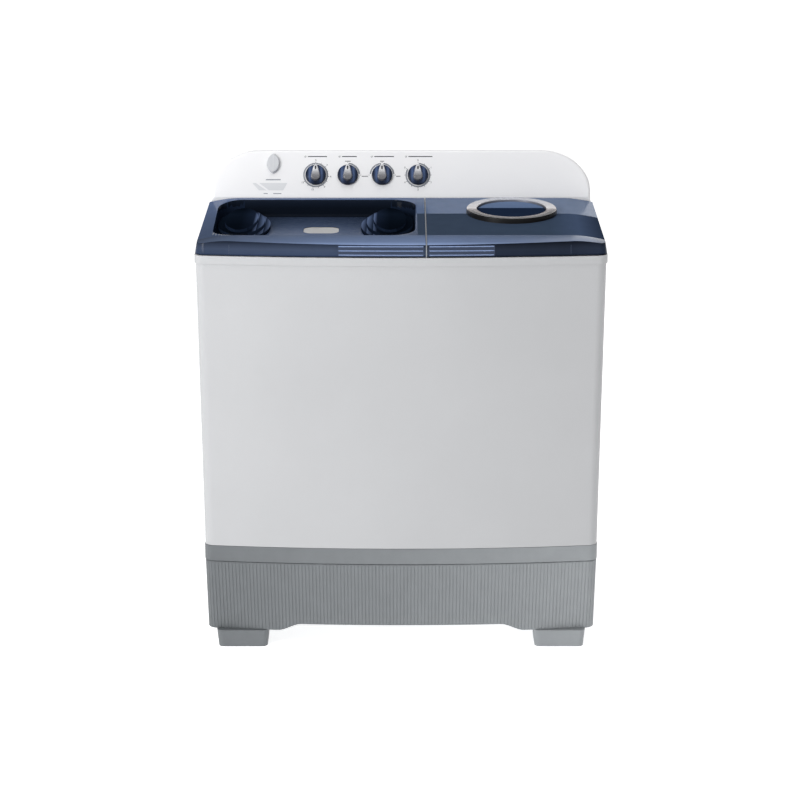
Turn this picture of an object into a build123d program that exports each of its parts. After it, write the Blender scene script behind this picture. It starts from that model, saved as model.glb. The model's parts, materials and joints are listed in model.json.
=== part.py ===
from build123d import *
import os
from math import cos, radians, sin, tan

# Twin tub washer: a wash tub with a pulsator on the left, a spin basket on the right.
# Millimetres. +X right, +Y to the back, +Z up, origin on the floor under the middle.

os.makedirs("parts", exist_ok=True)

# ---------------------------------------------------------------- driving dimensions
WIDTH = 936.0
DEPTH = 553.0
HEIGHT = 1105.0

FRONT = -DEPTH / 2
SPIGOT_TIP = DEPTH / 2
BACK = 254.0            # rear wall of the cabinet
BOW = 31.5              # how far the front swells between its corners
CORNER = 24.0           # vertical corner radius
WALL = 3.0

FOOT_HEIGHT = 41.0
SKIRT_TOP = 206.0
BASE_TOP = 245.0
CABINET_TOP = 911.5
RIM_BOTTOM = 912.0
DECK_TOP = 930.0
DECK_THICKNESS = 3.0
LID_BOTTOM = 932.0

SKIRT_HALF = 452.0      # half widths, from the floor up
BAND_HALF = 457.5
SHOULDER_HALF = 465.5
LID_HALF = 467.0

SPLIT_X = 57.0          # line between the two lids
RIB_HALF = 1.2
LID_GAP = 0.6

# lids: a rolled rear edge about the hinge axis, a sloping top, a curved front lip
LID_SKIN = 2.5
HINGE_Y = 140.5
HINGE_Z = 988.5
ROLL_R = 9.5
TOP_SLOPE = 4.6
CREASE_Y = -205.0
LIP_Y = -272.0
LIP_Z = 958.0
LID_DRAFT = 7.0
PIN_R = 3.0
PIN_CLEARANCE = 0.06
EAR_HALF = 3.0
EAR_R = 6.3
WASH_EARS = (-380.0, 0.0)
SPIN_EARS = (110.0, 400.0)

# console: its face leans back from a foot line behind the lids
CONSOLE_FOOT_Y = 151.0
CONSOLE_FOOT_Z = 998.5
CONSOLE_BOTTOM = 990.3
LEAN = 22.0
CONSOLE_HALF = 455.0
CONSOLE_EDGE_R = 8.0
CONSOLE_BACK = 250.0
CONSOLE_REACH = CONSOLE_EDGE_R + (
    HEIGHT - CONSOLE_FOOT_Z - CONSOLE_EDGE_R * (1 - sin(radians(LEAN)))
) / cos(radians(LEAN))

# tubs
WASH_X, WASH_Y = -210.0, -45.0
WASH_WIDTH, WASH_DEPTH, WASH_CORNER = 430.0, 340.0, 100.0
WASH_FLOOR = 330.0
SPIN_X, SPIN_Y = 256.0, -40.0
SPIN_TUB_R = 185.0
SPIN_TUB_FLOOR = 300.0
TUB_TOP = 926.7
BASKET_R = 152.0
BASKET_FLOOR = 352.0
BASKET_TOP = 890.0

# tray sunk into the wash lid
TRAY_X, TRAY_Y = -199.0, -43.0
TRAY_LENGTH, TRAY_DEPTH, TRAY_CORNER = 472.0, 334.0, 60.0
TRAY_TOP = 1002.0
TRAY_FLOOR = 953.0      # under the tray's middle
TRAY_INSET = 8.0
TRAY_SLOPE = 1.0
TERRACE_OFFSET = 173.0  # from the tray's middle to the middle of each end mound
TERRACE_Y = -28.0
TERRACES = [(9.0, 67.0, 158.0), (17.0, 54.0, 145.0), (25.0, 38.0, 128.0)]
SLOT_X, SLOT_Y = -186.0, -44.0
SLOT_LENGTH, SLOT_WIDTH, SLOT_CORNER = 82.0, 76.0, 22.0

# knobs, from left to right, and their place up the console's face
KNOBS = {
    "wash_timer": -205.0,
    "wash_mode": -128.0,
    "drain_selector": -45.5,
    "spin_timer": 40.8,
}
KNOB_ALONG = 54.0
DIAL_R = 25.0
DIAL_HEIGHT = 8.0
GRIP_HEIGHT = 8.0
GRIP_HEEL_UP, GRIP_HEEL_R = -4.5, 11.8
GRIP_TIP_UP, GRIP_TIP_R = 17.0, 6.2
STEM_R = 4.0
LEVER_X = -307.0
LEVER_ALONG = 82.0

# wash drive and spin drive
GEARBOX_X, GEARBOX_Y = WASH_X, WASH_Y
MOTOR_X, MOTOR_Y = -340.0, 60.0
PULLEY_BOTTOM = 150.0
PULLEY_WIDTH = 18.0
BIG_PULLEY_R = 86.0
SMALL_PULLEY_R = 24.0
GROOVE_DEPTH = 7.0
SHAFT_R = 6.0
RUNNING = 0.05
BRAKE_R = 48.0
VALVE_X, VALVE_Y = 38.0, 60.0

BASE_FLOOR = 60.0


# ---------------------------------------------------------------- shared shapes
def save(builder, name):
    """Label a finished piece and write it."""
    builder.part.label = name
    export_step(builder.part, f"parts/{name}.step")


def bowed_outline(z, half, front, back, corner=CORNER, rear_corner=8.0):
    """Plan outline with a swelling front, as a sketch at height z."""
    with BuildSketch(Plane.XY.offset(z)) as outline:
        with BuildLine():
            ThreePointArc((-half, front + BOW), (0, front), (half, front + BOW))
            Polyline((half, front + BOW), (half, back), (-half, back), (-half, front + BOW))
        make_face()
        fillet(outline.vertices().group_by(Axis.Y)[0], corner)
        fillet(outline.vertices().group_by(Axis.Y)[-1], rear_corner)
    return outline.sketch


def lid_profile(x, inset, bottom):
    """Side outline of a lid, as a sketch on the plane at x, set in from the outer skin."""
    slope = radians(TOP_SLOPE)
    roll = ROLL_R - inset
    top = (HINGE_Y - roll * sin(slope), HINGE_Z + roll * cos(slope))
    run = top[0] - CREASE_Y
    crease = (CREASE_Y, top[1] - run * tan(slope))
    lip = (LIP_Y + inset, LIP_Z - inset)
    rear_low = max(bottom, HINGE_Z - 2.0)
    with BuildSketch(Plane.YZ.offset(x)) as outline:
        with BuildLine():
            roll_mid = (HINGE_Y + roll * cos(radians(43)), HINGE_Z + roll * sin(radians(43)))
            ThreePointArc((HINGE_Y + roll, HINGE_Z), roll_mid, top)
            Line(top, crease)
            TangentArc(crease, lip, tangent=(-cos(slope), -sin(slope)))
            Polyline(lip, (lip[0], bottom), (HINGE_Y, bottom), (HINGE_Y, rear_low))
            Polyline((HINGE_Y, rear_low), (HINGE_Y + roll, rear_low), (HINGE_Y + roll, HINGE_Z))
        make_face()
    return outline.sketch


def lid_block(x_low, x_high, inset, bottom):
    """Solid lid block between two side planes, set in all round by inset."""
    plan = bowed_outline(bottom, LID_HALF - inset, LIP_Y + inset, 190.0)
    with BuildPart() as block:
        extrude(plan, amount=90.0, taper=LID_DRAFT)
        extrude(lid_profile(x_low, inset, bottom), amount=x_high - x_low, mode=Mode.INTERSECT)
    return block.part


def round_bar(x, y, z_low, z_high, radius):
    """Upright round bar, kept out of the part under construction."""
    bar = Cylinder(
        radius, z_high - z_low, align=(Align.CENTER, Align.CENTER, Align.MIN), mode=Mode.PRIVATE
    )
    return Pos(x, y, z_low) * bar


def console_plane(depth=0.0, x=0.0, along=0.0):
    """Plane on the console's leaning face, at x and at a distance up the face from its foot."""
    lean = radians(LEAN)
    origin = (x, CONSOLE_FOOT_Y + along * sin(lean), CONSOLE_FOOT_Z + along * cos(lean))
    face = Plane(origin=origin, x_dir=(1, 0, 0), z_dir=(0, -cos(lean), sin(lean)))
    return face.offset(depth)


def console_face(inset):
    """Front outline of the console with its two large rounded corners."""
    half = CONSOLE_HALF - inset
    reach = CONSOLE_REACH - inset
    arc_w, arc_h = 120.0, 100.0
    low = -30.0
    with BuildSketch(console_plane()) as outline:
        with BuildLine():
            Polyline((-half, reach - arc_h), (-half, low), (half, low), (half, reach - arc_h))
            EllipticalCenterArc((half - arc_w, reach - arc_h), arc_w, arc_h, 0, arc_size=90)
            Line((half - arc_w, reach), (arc_w - half, reach))
            EllipticalCenterArc((arc_w - half, reach - arc_h), arc_w, arc_h, 90, arc_size=90)
        make_face()
    return outline.sketch


def console_side(inset, back, bottom):
    """Side outline of the console."""
    rise = HEIGHT + 40.0 - CONSOLE_FOOT_Z
    foot_y = CONSOLE_FOOT_Y + inset
    with BuildSketch(Plane.YZ) as outline:
        with BuildLine():
            Polyline(
                (foot_y, bottom),
                (foot_y, CONSOLE_FOOT_Z),
                (foot_y + rise * tan(radians(LEAN)), CONSOLE_FOOT_Z + rise),
                (back, CONSOLE_FOOT_Z + rise),
                (back, bottom),
                close=True,
            )
        make_face()
    return outline.sketch


def console_block(inset, back, bottom):
    """Solid console block, set in by inset, as far back as given."""
    with BuildPart() as block:
        extrude(console_side(inset, back, bottom), amount=CONSOLE_HALF, both=True)
        extrude(console_face(inset), amount=200.0, both=True, mode=Mode.INTERSECT)
    return block.part


# ---------------------------------------------------------------- cabinet
SERVICE_WIDTH, SERVICE_LOW, SERVICE_HIGH = 760.0, 300.0, 840.0

with BuildPart() as cabinet_shell:
    loft([
        bowed_outline(BASE_TOP + 0.5, BAND_HALF - 1.0, FRONT + 11.0, BACK),
        bowed_outline(CABINET_TOP, SHOULDER_HALF, FRONT + 2.5, BACK),
    ])
    loft([
        bowed_outline(BASE_TOP - 1, BAND_HALF - 1.0 - WALL, FRONT + 11.0 + WALL, BACK - WALL),
        bowed_outline(CABINET_TOP + 1, SHOULDER_HALF - WALL, FRONT + 2.5 + WALL, BACK - WALL),
    ], mode=Mode.SUBTRACT)
    with Locations((0, BACK, (SERVICE_LOW + SERVICE_HIGH) / 2)):
        Box(SERVICE_WIDTH, 20, SERVICE_HIGH - SERVICE_LOW, mode=Mode.SUBTRACT)
save(cabinet_shell, "cabinet_shell")

COVER_THICKNESS = 2.0
COVER_LAP = 14.0
COVER_Z = (SERVICE_LOW + SERVICE_HIGH) / 2
SCREW_R = 2.0
COVER_SCREW_X = (SERVICE_WIDTH + COVER_LAP) / 2
COVER_SCREW_Z = SERVICE_HIGH - SERVICE_LOW + COVER_LAP

with BuildPart() as back_cover:
    with BuildSketch(Plane.XZ.offset(-BACK)):
        with Locations((0, COVER_Z)):
            RectangleRounded(
                SERVICE_WIDTH + 2 * COVER_LAP, SERVICE_HIGH - SERVICE_LOW + 2 * COVER_LAP, 12
            )
        with Locations((0, COVER_Z)):
            with GridLocations(COVER_SCREW_X, COVER_SCREW_Z, 3, 2):
                Circle(SCREW_R, mode=Mode.SUBTRACT)
        with Locations((-200, SERVICE_LOW + 110), (200, SERVICE_LOW + 110)):
            with GridLocations(20, 1, 9, 1):
                SlotOverall(90, 7, rotation=90, mode=Mode.SUBTRACT)
    extrude(amount=-COVER_THICKNESS)
    with BuildSketch(Plane.XZ.offset(-BACK - COVER_THICKNESS)):
        with Locations((0, COVER_Z + 60)):
            with GridLocations(SERVICE_WIDTH / 2, 1, 2, 1):
                RectangleRounded(SERVICE_WIDTH / 2 - 50, 300, 20)
    extrude(amount=-1.6)
save(back_cover, "back_cover")

# ---------------------------------------------------------------- base and feet
SKIRT_ARCH_HALF, SKIRT_ARCH_FOOT, SKIRT_ARCH_RISE = 233.0, 288.0, 16.0
DRAIN_Z = 150.0
DRAIN_PIPE_R = 14.0

with BuildPart() as base:
    loft([
        bowed_outline(FOOT_HEIGHT, SKIRT_HALF, FRONT + 16.0, BACK - 4.0),
        bowed_outline(SKIRT_TOP, BAND_HALF - 1.0, FRONT + 12.0, BACK),
    ])
    loft([
        bowed_outline(FOOT_HEIGHT - 1, SKIRT_HALF - WALL, FRONT + 16.0 + WALL, BACK - 4.0 - WALL),
        bowed_outline(SKIRT_TOP + 1, BAND_HALF - 1.0 - WALL, FRONT + 12.0 + WALL, BACK - WALL),
    ], mode=Mode.SUBTRACT)
    extrude(bowed_outline(SKIRT_TOP, BAND_HALF - 2.5, FRONT + 13.5, BACK - 1.5), amount=2.0)
    extrude(bowed_outline(SKIRT_TOP + 2.0, BAND_HALF, FRONT + 10.5, BACK), amount=BASE_TOP - SKIRT_TOP - 2)
    extrude(
        bowed_outline(SKIRT_TOP, BAND_HALF - 5.0, FRONT + 15.5, BACK - 4.0),
        amount=BASE_TOP - SKIRT_TOP + 1,
        mode=Mode.SUBTRACT,
    )
    extrude(bowed_outline(BASE_FLOOR, SKIRT_HALF - 2, FRONT + 18.0, BACK - 6.0), amount=WALL)
    with BuildSketch(Plane.XZ):
        with BuildLine():
            Polyline(
                (-SKIRT_ARCH_FOOT, FOOT_HEIGHT - 1),
                (-SKIRT_ARCH_HALF, FOOT_HEIGHT + SKIRT_ARCH_RISE),
                (SKIRT_ARCH_HALF, FOOT_HEIGHT + SKIRT_ARCH_RISE),
                (SKIRT_ARCH_FOOT, FOOT_HEIGHT - 1),
                close=True,
            )
        make_face()
    extrude(amount=400, both=True, mode=Mode.SUBTRACT)
    with Locations((VALVE_X, BACK, DRAIN_Z)):
        Cylinder(DRAIN_PIPE_R + 1, 40, rotation=(90, 0, 0), mode=Mode.SUBTRACT)
save(base, "base")

FOOT_X = 370.0
FOOT_TOP_WIDTH, FOOT_LOW_WIDTH = 122.0, 114.0
FOOT_TOP_DEPTH, FOOT_LOW_DEPTH = 90.0, 84.0
FOOT_FRONT_Y, FOOT_REAR_Y = -204.0, 200.0

with BuildPart() as feet:
    for foot_x in (-FOOT_X, FOOT_X):
        for foot_y in (FOOT_FRONT_Y, FOOT_REAR_Y):
            with BuildSketch(Plane.XY):
                with Locations((foot_x, foot_y)):
                    RectangleRounded(FOOT_LOW_WIDTH, FOOT_LOW_DEPTH, 14)
            with BuildSketch(Plane.XY.offset(FOOT_HEIGHT)):
                with Locations((foot_x, foot_y)):
                    RectangleRounded(FOOT_TOP_WIDTH, FOOT_TOP_DEPTH, 14)
            loft()
save(feet, "feet")

# ---------------------------------------------------------------- top frame
PLATFORM_FRONT = CONSOLE_FOOT_Y + 0.2
PLATFORM_TOP = 990.0
SPIN_MOUTH_R = SPIN_TUB_R

with BuildPart() as top_frame:
    extrude(bowed_outline(RIM_BOTTOM, WIDTH / 2, FRONT, BACK), amount=DECK_TOP - RIM_BOTTOM)
    extrude(
        bowed_outline(RIM_BOTTOM, WIDTH / 2 - WALL, FRONT + WALL, BACK - WALL),
        amount=DECK_TOP - DECK_THICKNESS - RIM_BOTTOM,
        mode=Mode.SUBTRACT,
    )
    with BuildSketch(Plane.XY.offset(DECK_TOP)):
        with Locations((WASH_X, WASH_Y)):
            RectangleRounded(WASH_WIDTH + 8, WASH_DEPTH + 8, WASH_CORNER + 4)
        with Locations((SPIN_X, SPIN_Y)):
            Circle(SPIN_MOUTH_R + 4)
    extrude(amount=8)
    with BuildSketch(Plane.XY.offset(RIM_BOTTOM)):
        with Locations((WASH_X, WASH_Y)):
            RectangleRounded(WASH_WIDTH, WASH_DEPTH, WASH_CORNER)
        with Locations((SPIN_X, SPIN_Y)):
            Circle(SPIN_MOUTH_R)
    extrude(amount=40, mode=Mode.SUBTRACT)
    # divider rib that shows between the lids
    extrude(lid_profile(SPLIT_X - RIB_HALF, 1.0, DECK_TOP - 1), amount=2 * RIB_HALF)
    # hollow platform under the console
    with BuildSketch(Plane.XY.offset(DECK_TOP - 1)):
        with Locations((0, (PLATFORM_FRONT + BACK) / 2)):
            Rectangle(2 * 465.0, BACK - PLATFORM_FRONT)
    with BuildSketch(Plane.XY.offset(PLATFORM_TOP)):
        with Locations((0, (PLATFORM_FRONT + BACK) / 2)):
            Rectangle(2 * CONSOLE_HALF, BACK - PLATFORM_FRONT)
    loft()
    with Locations((0, (PLATFORM_FRONT + BACK) / 2, DECK_TOP + 10)):
        Box(2 * 450.0, BACK - PLATFORM_FRONT - 2 * WALL, 130, mode=Mode.SUBTRACT)
    # hinge ears
    for ear_x in WASH_EARS + SPIN_EARS:
        with BuildSketch(Plane.YZ.offset(ear_x - EAR_HALF)):
            with Locations((HINGE_Y, HINGE_Z)):
                Circle(EAR_R)
            with Locations((HINGE_Y, (HINGE_Z + DECK_TOP - 1) / 2)):
                Rectangle(2 * EAR_R, HINGE_Z - DECK_TOP + 1)
            with Locations((HINGE_Y, HINGE_Z)):
                Circle(PIN_R + PIN_CLEARANCE, mode=Mode.SUBTRACT)
        extrude(amount=2 * EAR_HALF)
save(top_frame, "top_frame")


# ---------------------------------------------------------------- lids
def lid_shell(x_low, x_high, ears):
    """Hollow lid with rounded top edges, open below, notched for its hinge ears."""
    web_in, web_out = EAR_HALF + 2.0, EAR_HALF + 6.0
    with BuildPart() as lid:
        add(lid_block(x_low, x_high, 0.0, LID_BOTTOM))
        add(
            lid_block(x_low + LID_SKIN, x_high - LID_SKIN, LID_SKIN, LID_BOTTOM - 1),
            mode=Mode.SUBTRACT,
        )
        for ear_x in ears:
            for web_x in (ear_x - web_out, ear_x + web_in):
                with BuildSketch(Plane.YZ.offset(web_x)):
                    with Locations((HINGE_Y, HINGE_Z)):
                        Circle(ROLL_R - LID_SKIN + 0.4)
                        Circle(PIN_R, mode=Mode.SUBTRACT)
                extrude(amount=web_out - web_in)
            with Locations((ear_x, HINGE_Y + 6.0, HINGE_Z - 3.0)):
                Box(2 * EAR_HALF + 2.0, 12.0, 21.0, mode=Mode.SUBTRACT)
    return lid.part


def hinge_pins(ears):
    """Two short pins, each through one ear and the lid's webs beside it."""
    with BuildPart() as pins:
        for ear_x in ears:
            with Locations((ear_x, HINGE_Y, HINGE_Z)):
                Cylinder(PIN_R, 2 * EAR_HALF + 14.0, rotation=(0, 90, 0))
    return pins


def sloped_plane(x, y, z, slope):
    """Plane through a point, sloping down to the front by an angle in degrees."""
    return Plane(
        origin=(x, y, z),
        x_dir=(1, 0, 0),
        z_dir=(0, -sin(radians(slope)), cos(radians(slope))),
    )


def tray_sketch(z, inset, grow):
    """Outline of the tray on a sloping plane at height z, set in from its rim."""
    with BuildSketch(sloped_plane(TRAY_X, TRAY_Y, z, TRAY_SLOPE)) as outline:
        RectangleRounded(
            TRAY_LENGTH - 2.0 * inset + 2 * grow,
            TRAY_DEPTH - 2.0 * inset + 2 * grow,
            TRAY_CORNER - 0.6 * inset + grow,
        )
    return outline.sketch


def terrace_stack(side, shrink):
    """Stepped oval mound at one end of the tray, its faces set in by shrink."""
    low = TRAY_FLOOR - LID_SKIN - 1.0
    x = TRAY_X + side * TERRACE_OFFSET
    with BuildPart() as stack:
        for rise, radius_x, radius_y in TERRACES:
            with BuildSketch(sloped_plane(x, TERRACE_Y, low, TRAY_SLOPE)):
                Ellipse(radius_x - shrink, radius_y - shrink)
            extrude(amount=TRAY_FLOOR + rise - shrink - low)
    return stack.part


wash_low, wash_high = -LID_HALF, SPLIT_X - RIB_HALF - LID_GAP
spin_low, spin_high = SPLIT_X + RIB_HALF + LID_GAP, LID_HALF

with BuildPart() as tray_bowl:
    loft([
        tray_sketch(TRAY_TOP, 0.0, LID_SKIN),
        tray_sketch(TRAY_FLOOR - LID_SKIN, TRAY_INSET, LID_SKIN),
    ])
    extrude(lid_profile(wash_low, 1.0, LID_BOTTOM), amount=wash_high - wash_low, mode=Mode.INTERSECT)

# the mounds stand in the tray and are hollow from below
with BuildPart() as tray_space:
    loft([tray_sketch(TRAY_TOP, 0.0, 0.0), tray_sketch(TRAY_FLOOR, TRAY_INSET, 0.0)])
    for side in (-1, 1):
        add(terrace_stack(side, 0.0), mode=Mode.SUBTRACT)

with BuildPart() as mound_hollows:
    for side in (-1, 1):
        add(terrace_stack(side, LID_SKIN))
    add(
        loft([
            tray_sketch(TRAY_TOP, 0.0, -LID_SKIN),
            tray_sketch(TRAY_FLOOR - LID_SKIN - 1.0, TRAY_INSET, -LID_SKIN),
        ], mode=Mode.PRIVATE),
        mode=Mode.INTERSECT,
    )

slot_z = TRAY_FLOOR + (SLOT_Y - TRAY_Y) * tan(radians(TRAY_SLOPE))
slot_plane = sloped_plane(SLOT_X, SLOT_Y, slot_z, TRAY_SLOPE)

with BuildPart() as wash_lid:
    add(lid_shell(wash_low, wash_high, WASH_EARS))
    add(tray_bowl.part)
    add(tray_space.part, mode=Mode.SUBTRACT)
    add(mound_hollows.part, mode=Mode.SUBTRACT)
    with BuildSketch(slot_plane.offset(-LID_SKIN - 1)):
        RectangleRounded(SLOT_LENGTH, SLOT_WIDTH, SLOT_CORNER)
    extrude(amount=10, mode=Mode.SUBTRACT)
save(wash_lid, "wash_lid")

with BuildPart() as wash_lid_slot_plate:
    with BuildSketch(slot_plane.offset(-LID_SKIN)):
        RectangleRounded(SLOT_LENGTH - 0.2, SLOT_WIDTH - 0.2, SLOT_CORNER - 0.1)
    extrude(amount=1.5)
save(wash_lid_slot_plate, "wash_lid_slot_plate")

wash_lid_hinge_pins = hinge_pins(WASH_EARS)
save(wash_lid_hinge_pins, "wash_lid_hinge_pins")

# the spin lid carries a round window in a raised chrome ring
RING_X, RING_Y = 259.0, 2.0
RING_R, RING_INNER_R = 106.5, 84.0
RING_RISE = 11.0
WINDOW_R = RING_INNER_R - 4.3
WINDOW_RISE, WINDOW_EDGE_R, WINDOW_WALL = 6.5, 2.5, 2.8
top_at_ring = HINGE_Z + ROLL_R - (HINGE_Y - RING_Y) * tan(radians(TOP_SLOPE))
ring_plane = sloped_plane(RING_X, RING_Y, top_at_ring, TOP_SLOPE)

with BuildPart() as spin_lid:
    add(lid_shell(spin_low, spin_high, SPIN_EARS))
    with BuildSketch(ring_plane.offset(-10)):
        Circle(RING_INNER_R - 4)
    extrude(amount=30, mode=Mode.SUBTRACT)
save(spin_lid, "spin_lid")

with BuildPart() as spin_lid_ring:
    with BuildSketch(ring_plane.offset(0.15)):
        Circle(RING_R)
        Circle(RING_INNER_R - 4, mode=Mode.SUBTRACT)
    extrude(amount=RING_RISE, taper=8)
    fillet(spin_lid_ring.faces().sort_by(Axis.Z)[-1].edges(), 2.5)
save(spin_lid_ring, "spin_lid_ring")

with BuildPart() as spin_lid_window:
    with BuildSketch(ring_plane.offset(-LID_SKIN)):
        Circle(WINDOW_R)
    extrude(amount=LID_SKIN + WINDOW_RISE)
    fillet(spin_lid_window.faces().sort_by(Axis.Z)[-1].edges(), WINDOW_EDGE_R)
    with BuildSketch(ring_plane.offset(-LID_SKIN)):
        Circle(WINDOW_R - WINDOW_WALL)
    extrude(amount=LID_SKIN + WINDOW_RISE - WINDOW_WALL, mode=Mode.SUBTRACT)
save(spin_lid_window, "spin_lid_window")

spin_lid_hinge_pins = hinge_pins(SPIN_EARS)
save(spin_lid_hinge_pins, "spin_lid_hinge_pins")

# ---------------------------------------------------------------- console
with BuildPart() as control_panel:
    add(console_block(0.0, CONSOLE_BACK, CONSOLE_BOTTOM))
    leaning_face = control_panel.faces().sort_by(Axis(console_plane().origin, console_plane().z_dir))[-1]
    face_rim = leaning_face.edges().sort_by(Axis.Z)[1:]
    fillet(face_rim, CONSOLE_EDGE_R)
    add(console_block(WALL, CONSOLE_BACK + 5.0, CONSOLE_BOTTOM - 5.0), mode=Mode.SUBTRACT)
    with BuildSketch(console_plane(1.0)):
        with Locations(*[(knob_x, KNOB_ALONG) for knob_x in KNOBS.values()], (LEVER_X, LEVER_ALONG)):
            Circle(STEM_R + 0.5)
    extrude(amount=-10, mode=Mode.SUBTRACT)
save(control_panel, "control_panel")

SPIGOT_X, SPIGOT_Z = -300.0, 1040.0
SPIGOT_R, SPIGOT_BORE = 9.0, 6.0
GLAND_X, GLAND_Z = 380.0, 1015.0
GLAND_R, CORD_R = 8.0, 4.0
CONSOLE_COVER = 2.5
CONSOLE_SCREWS = [(-400, 1008), (0, 1008), (400, 1008), (-200, 1066), (200, 1066)]

with BuildPart() as console_rear_cover:
    add(console_block(0.0, CONSOLE_BACK + 0.2 + CONSOLE_COVER, CONSOLE_BOTTOM))
    with Locations((0, CONSOLE_BACK + 0.2 - 100, HEIGHT)):
        Box(1000, 200, 400, mode=Mode.SUBTRACT)
    with BuildSketch(Plane.XZ.offset(-CONSOLE_BACK - 10)):
        with Locations((SPIGOT_X, SPIGOT_Z)):
            Circle(SPIGOT_R)
        with Locations((GLAND_X, GLAND_Z)):
            Circle(GLAND_R)
        with Locations(*CONSOLE_SCREWS):
            Circle(SCREW_R)
    extrude(amount=30, mode=Mode.SUBTRACT)
save(console_rear_cover, "console_rear_cover")

COVER_FACE = CONSOLE_BACK + 0.2 + CONSOLE_COVER
SPIGOT_COLLAR = 3.0

with BuildPart() as water_inlet_spigot:
    for radius, face, length in (
        (SPIGOT_R, SPIGOT_TIP, SPIGOT_TIP - COVER_FACE - SPIGOT_COLLAR),
        (SPIGOT_R + 7.0, COVER_FACE + SPIGOT_COLLAR, SPIGOT_COLLAR),
        (SPIGOT_R - 1.0, COVER_FACE, COVER_FACE - CONSOLE_BACK + 20.0),
    ):
        with BuildSketch(Plane.XZ.offset(-face)):
            with Locations((SPIGOT_X, SPIGOT_Z)):
                Circle(radius)
                Circle(SPIGOT_BORE, mode=Mode.SUBTRACT)
        extrude(amount=length)
save(water_inlet_spigot, "water_inlet_spigot")

with BuildPart() as power_cord_gland:
    with BuildSketch(Plane.XZ.offset(-COVER_FACE - 8.0)):
        with Locations((GLAND_X, GLAND_Z)):
            Circle(GLAND_R)
            Circle(CORD_R, mode=Mode.SUBTRACT)
    extrude(amount=14.0)
    with BuildSketch(Plane.XZ.offset(-COVER_FACE - 2.5)):
        with Locations((GLAND_X, GLAND_Z)):
            Circle(GLAND_R + 4)
            Circle(CORD_R, mode=Mode.SUBTRACT)
    extrude(amount=2.5)
save(power_cord_gland, "power_cord_gland")

with BuildPart() as case_screws:
    with BuildSketch(Plane.XZ.offset(-BACK - COVER_THICKNESS)):
        with Locations((0, COVER_Z)):
            with GridLocations(COVER_SCREW_X, COVER_SCREW_Z, 3, 2):
                Circle(SCREW_R * 2.2)
    extrude(amount=-2.0)
    with BuildSketch(Plane.XZ.offset(-BACK - COVER_THICKNESS)):
        with Locations((0, COVER_Z)):
            with GridLocations(COVER_SCREW_X, COVER_SCREW_Z, 3, 2):
                Circle(SCREW_R)
    extrude(amount=COVER_THICKNESS)
    with BuildSketch(Plane.XZ.offset(-CONSOLE_BACK - 0.2 - CONSOLE_COVER)):
        with Locations(*CONSOLE_SCREWS):
            Circle(SCREW_R * 2.2)
    extrude(amount=-2.0)
    with BuildSketch(Plane.XZ.offset(-CONSOLE_BACK - 0.2 - CONSOLE_COVER)):
        with Locations(*CONSOLE_SCREWS):
            Circle(SCREW_R)
    extrude(amount=CONSOLE_COVER)
save(case_screws, "case_screws")

# ---------------------------------------------------------------- knobs and what they turn
UNIT_SIZES = {
    "wash_timer": (56.0, 46.0),
    "wash_mode": (34.0, 24.0),
    "drain_selector": (34.0, 24.0),
    "spin_timer": (56.0, 46.0),
}
UNIT_GAP = 0.3
STEM_REACH = 16.0

for knob_name, knob_x in KNOBS.items():
    with BuildPart() as dial:
        with BuildSketch(console_plane(0.5)):
            with Locations((knob_x, KNOB_ALONG)):
                Circle(DIAL_R)
        extrude(amount=DIAL_HEIGHT, taper=6)
        fillet(dial.faces().sort_by(Axis.Y)[0].edges(), 2.0)
        with BuildSketch(console_plane(0.5)):
            with Locations((knob_x, KNOB_ALONG)):
                Circle(STEM_R)
        extrude(amount=-STEM_REACH)
    save(dial, f"{knob_name}_dial")

    with BuildPart() as grip:
        with BuildSketch(console_plane(0.5 + DIAL_HEIGHT, knob_x, KNOB_ALONG)):
            with Locations((0, GRIP_HEEL_UP)):
                Circle(GRIP_HEEL_R)
            with Locations((0, GRIP_TIP_UP)):
                Circle(GRIP_TIP_R)
            make_hull()
        extrude(amount=GRIP_HEIGHT, taper=12)
        outward = Axis((0, 0, 0), tuple(console_plane().z_dir))
        fillet(grip.faces().sort_by(outward)[-1].edges(), 1.6)
    save(grip, f"{knob_name}_grip")

    unit_size, unit_depth = UNIT_SIZES[knob_name]
    with BuildPart() as unit:
        with BuildSketch(console_plane(-WALL - UNIT_GAP)):
            with Locations((knob_x, KNOB_ALONG)):
                RectangleRounded(unit_size, unit_size, 4)
                Circle(STEM_R + RUNNING, mode=Mode.SUBTRACT)
        extrude(amount=-STEM_REACH)
        with BuildSketch(console_plane(-WALL - UNIT_GAP - STEM_REACH)):
            with Locations((knob_x, KNOB_ALONG)):
                RectangleRounded(unit_size, unit_size, 4)
        extrude(amount=STEM_REACH - unit_depth)
    save(unit, f"{knob_name}_unit")

LEVER_LENGTH, LEVER_WIDTH = 50.0, 32.0

with BuildPart() as water_selector_lever:
    with BuildSketch(console_plane(0.6, LEVER_X, LEVER_ALONG)):
        with BuildLine():
            ThreePointArc((0, LEVER_LENGTH / 2), (-LEVER_WIDTH / 2, 0), (0, -LEVER_LENGTH / 2))
            ThreePointArc((0, -LEVER_LENGTH / 2), (LEVER_WIDTH / 2, 0), (0, LEVER_LENGTH / 2))
        make_face()
    extrude(amount=9.0, taper=14)
    fillet(water_selector_lever.faces().sort_by(Axis.Y)[0].edges(), 1.5)
    with BuildSketch(console_plane(0.6)):
        with Locations((LEVER_X, LEVER_ALONG)):
            Circle(STEM_R)
    extrude(amount=-24)
save(water_selector_lever, "water_selector_lever")

with BuildPart() as water_diverter:
    with BuildSketch(console_plane(-23.4)):
        with Locations((LEVER_X, LEVER_ALONG - 12)):
            RectangleRounded(26, 50, 6)
    extrude(amount=-22)
    with BuildSketch(console_plane(-27.4)):
        with Locations((LEVER_X, LEVER_ALONG - 16)):
            RectangleRounded(20, 50, 4)
    extrude(amount=-14, mode=Mode.SUBTRACT)
save(water_diverter, "water_diverter")

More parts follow.
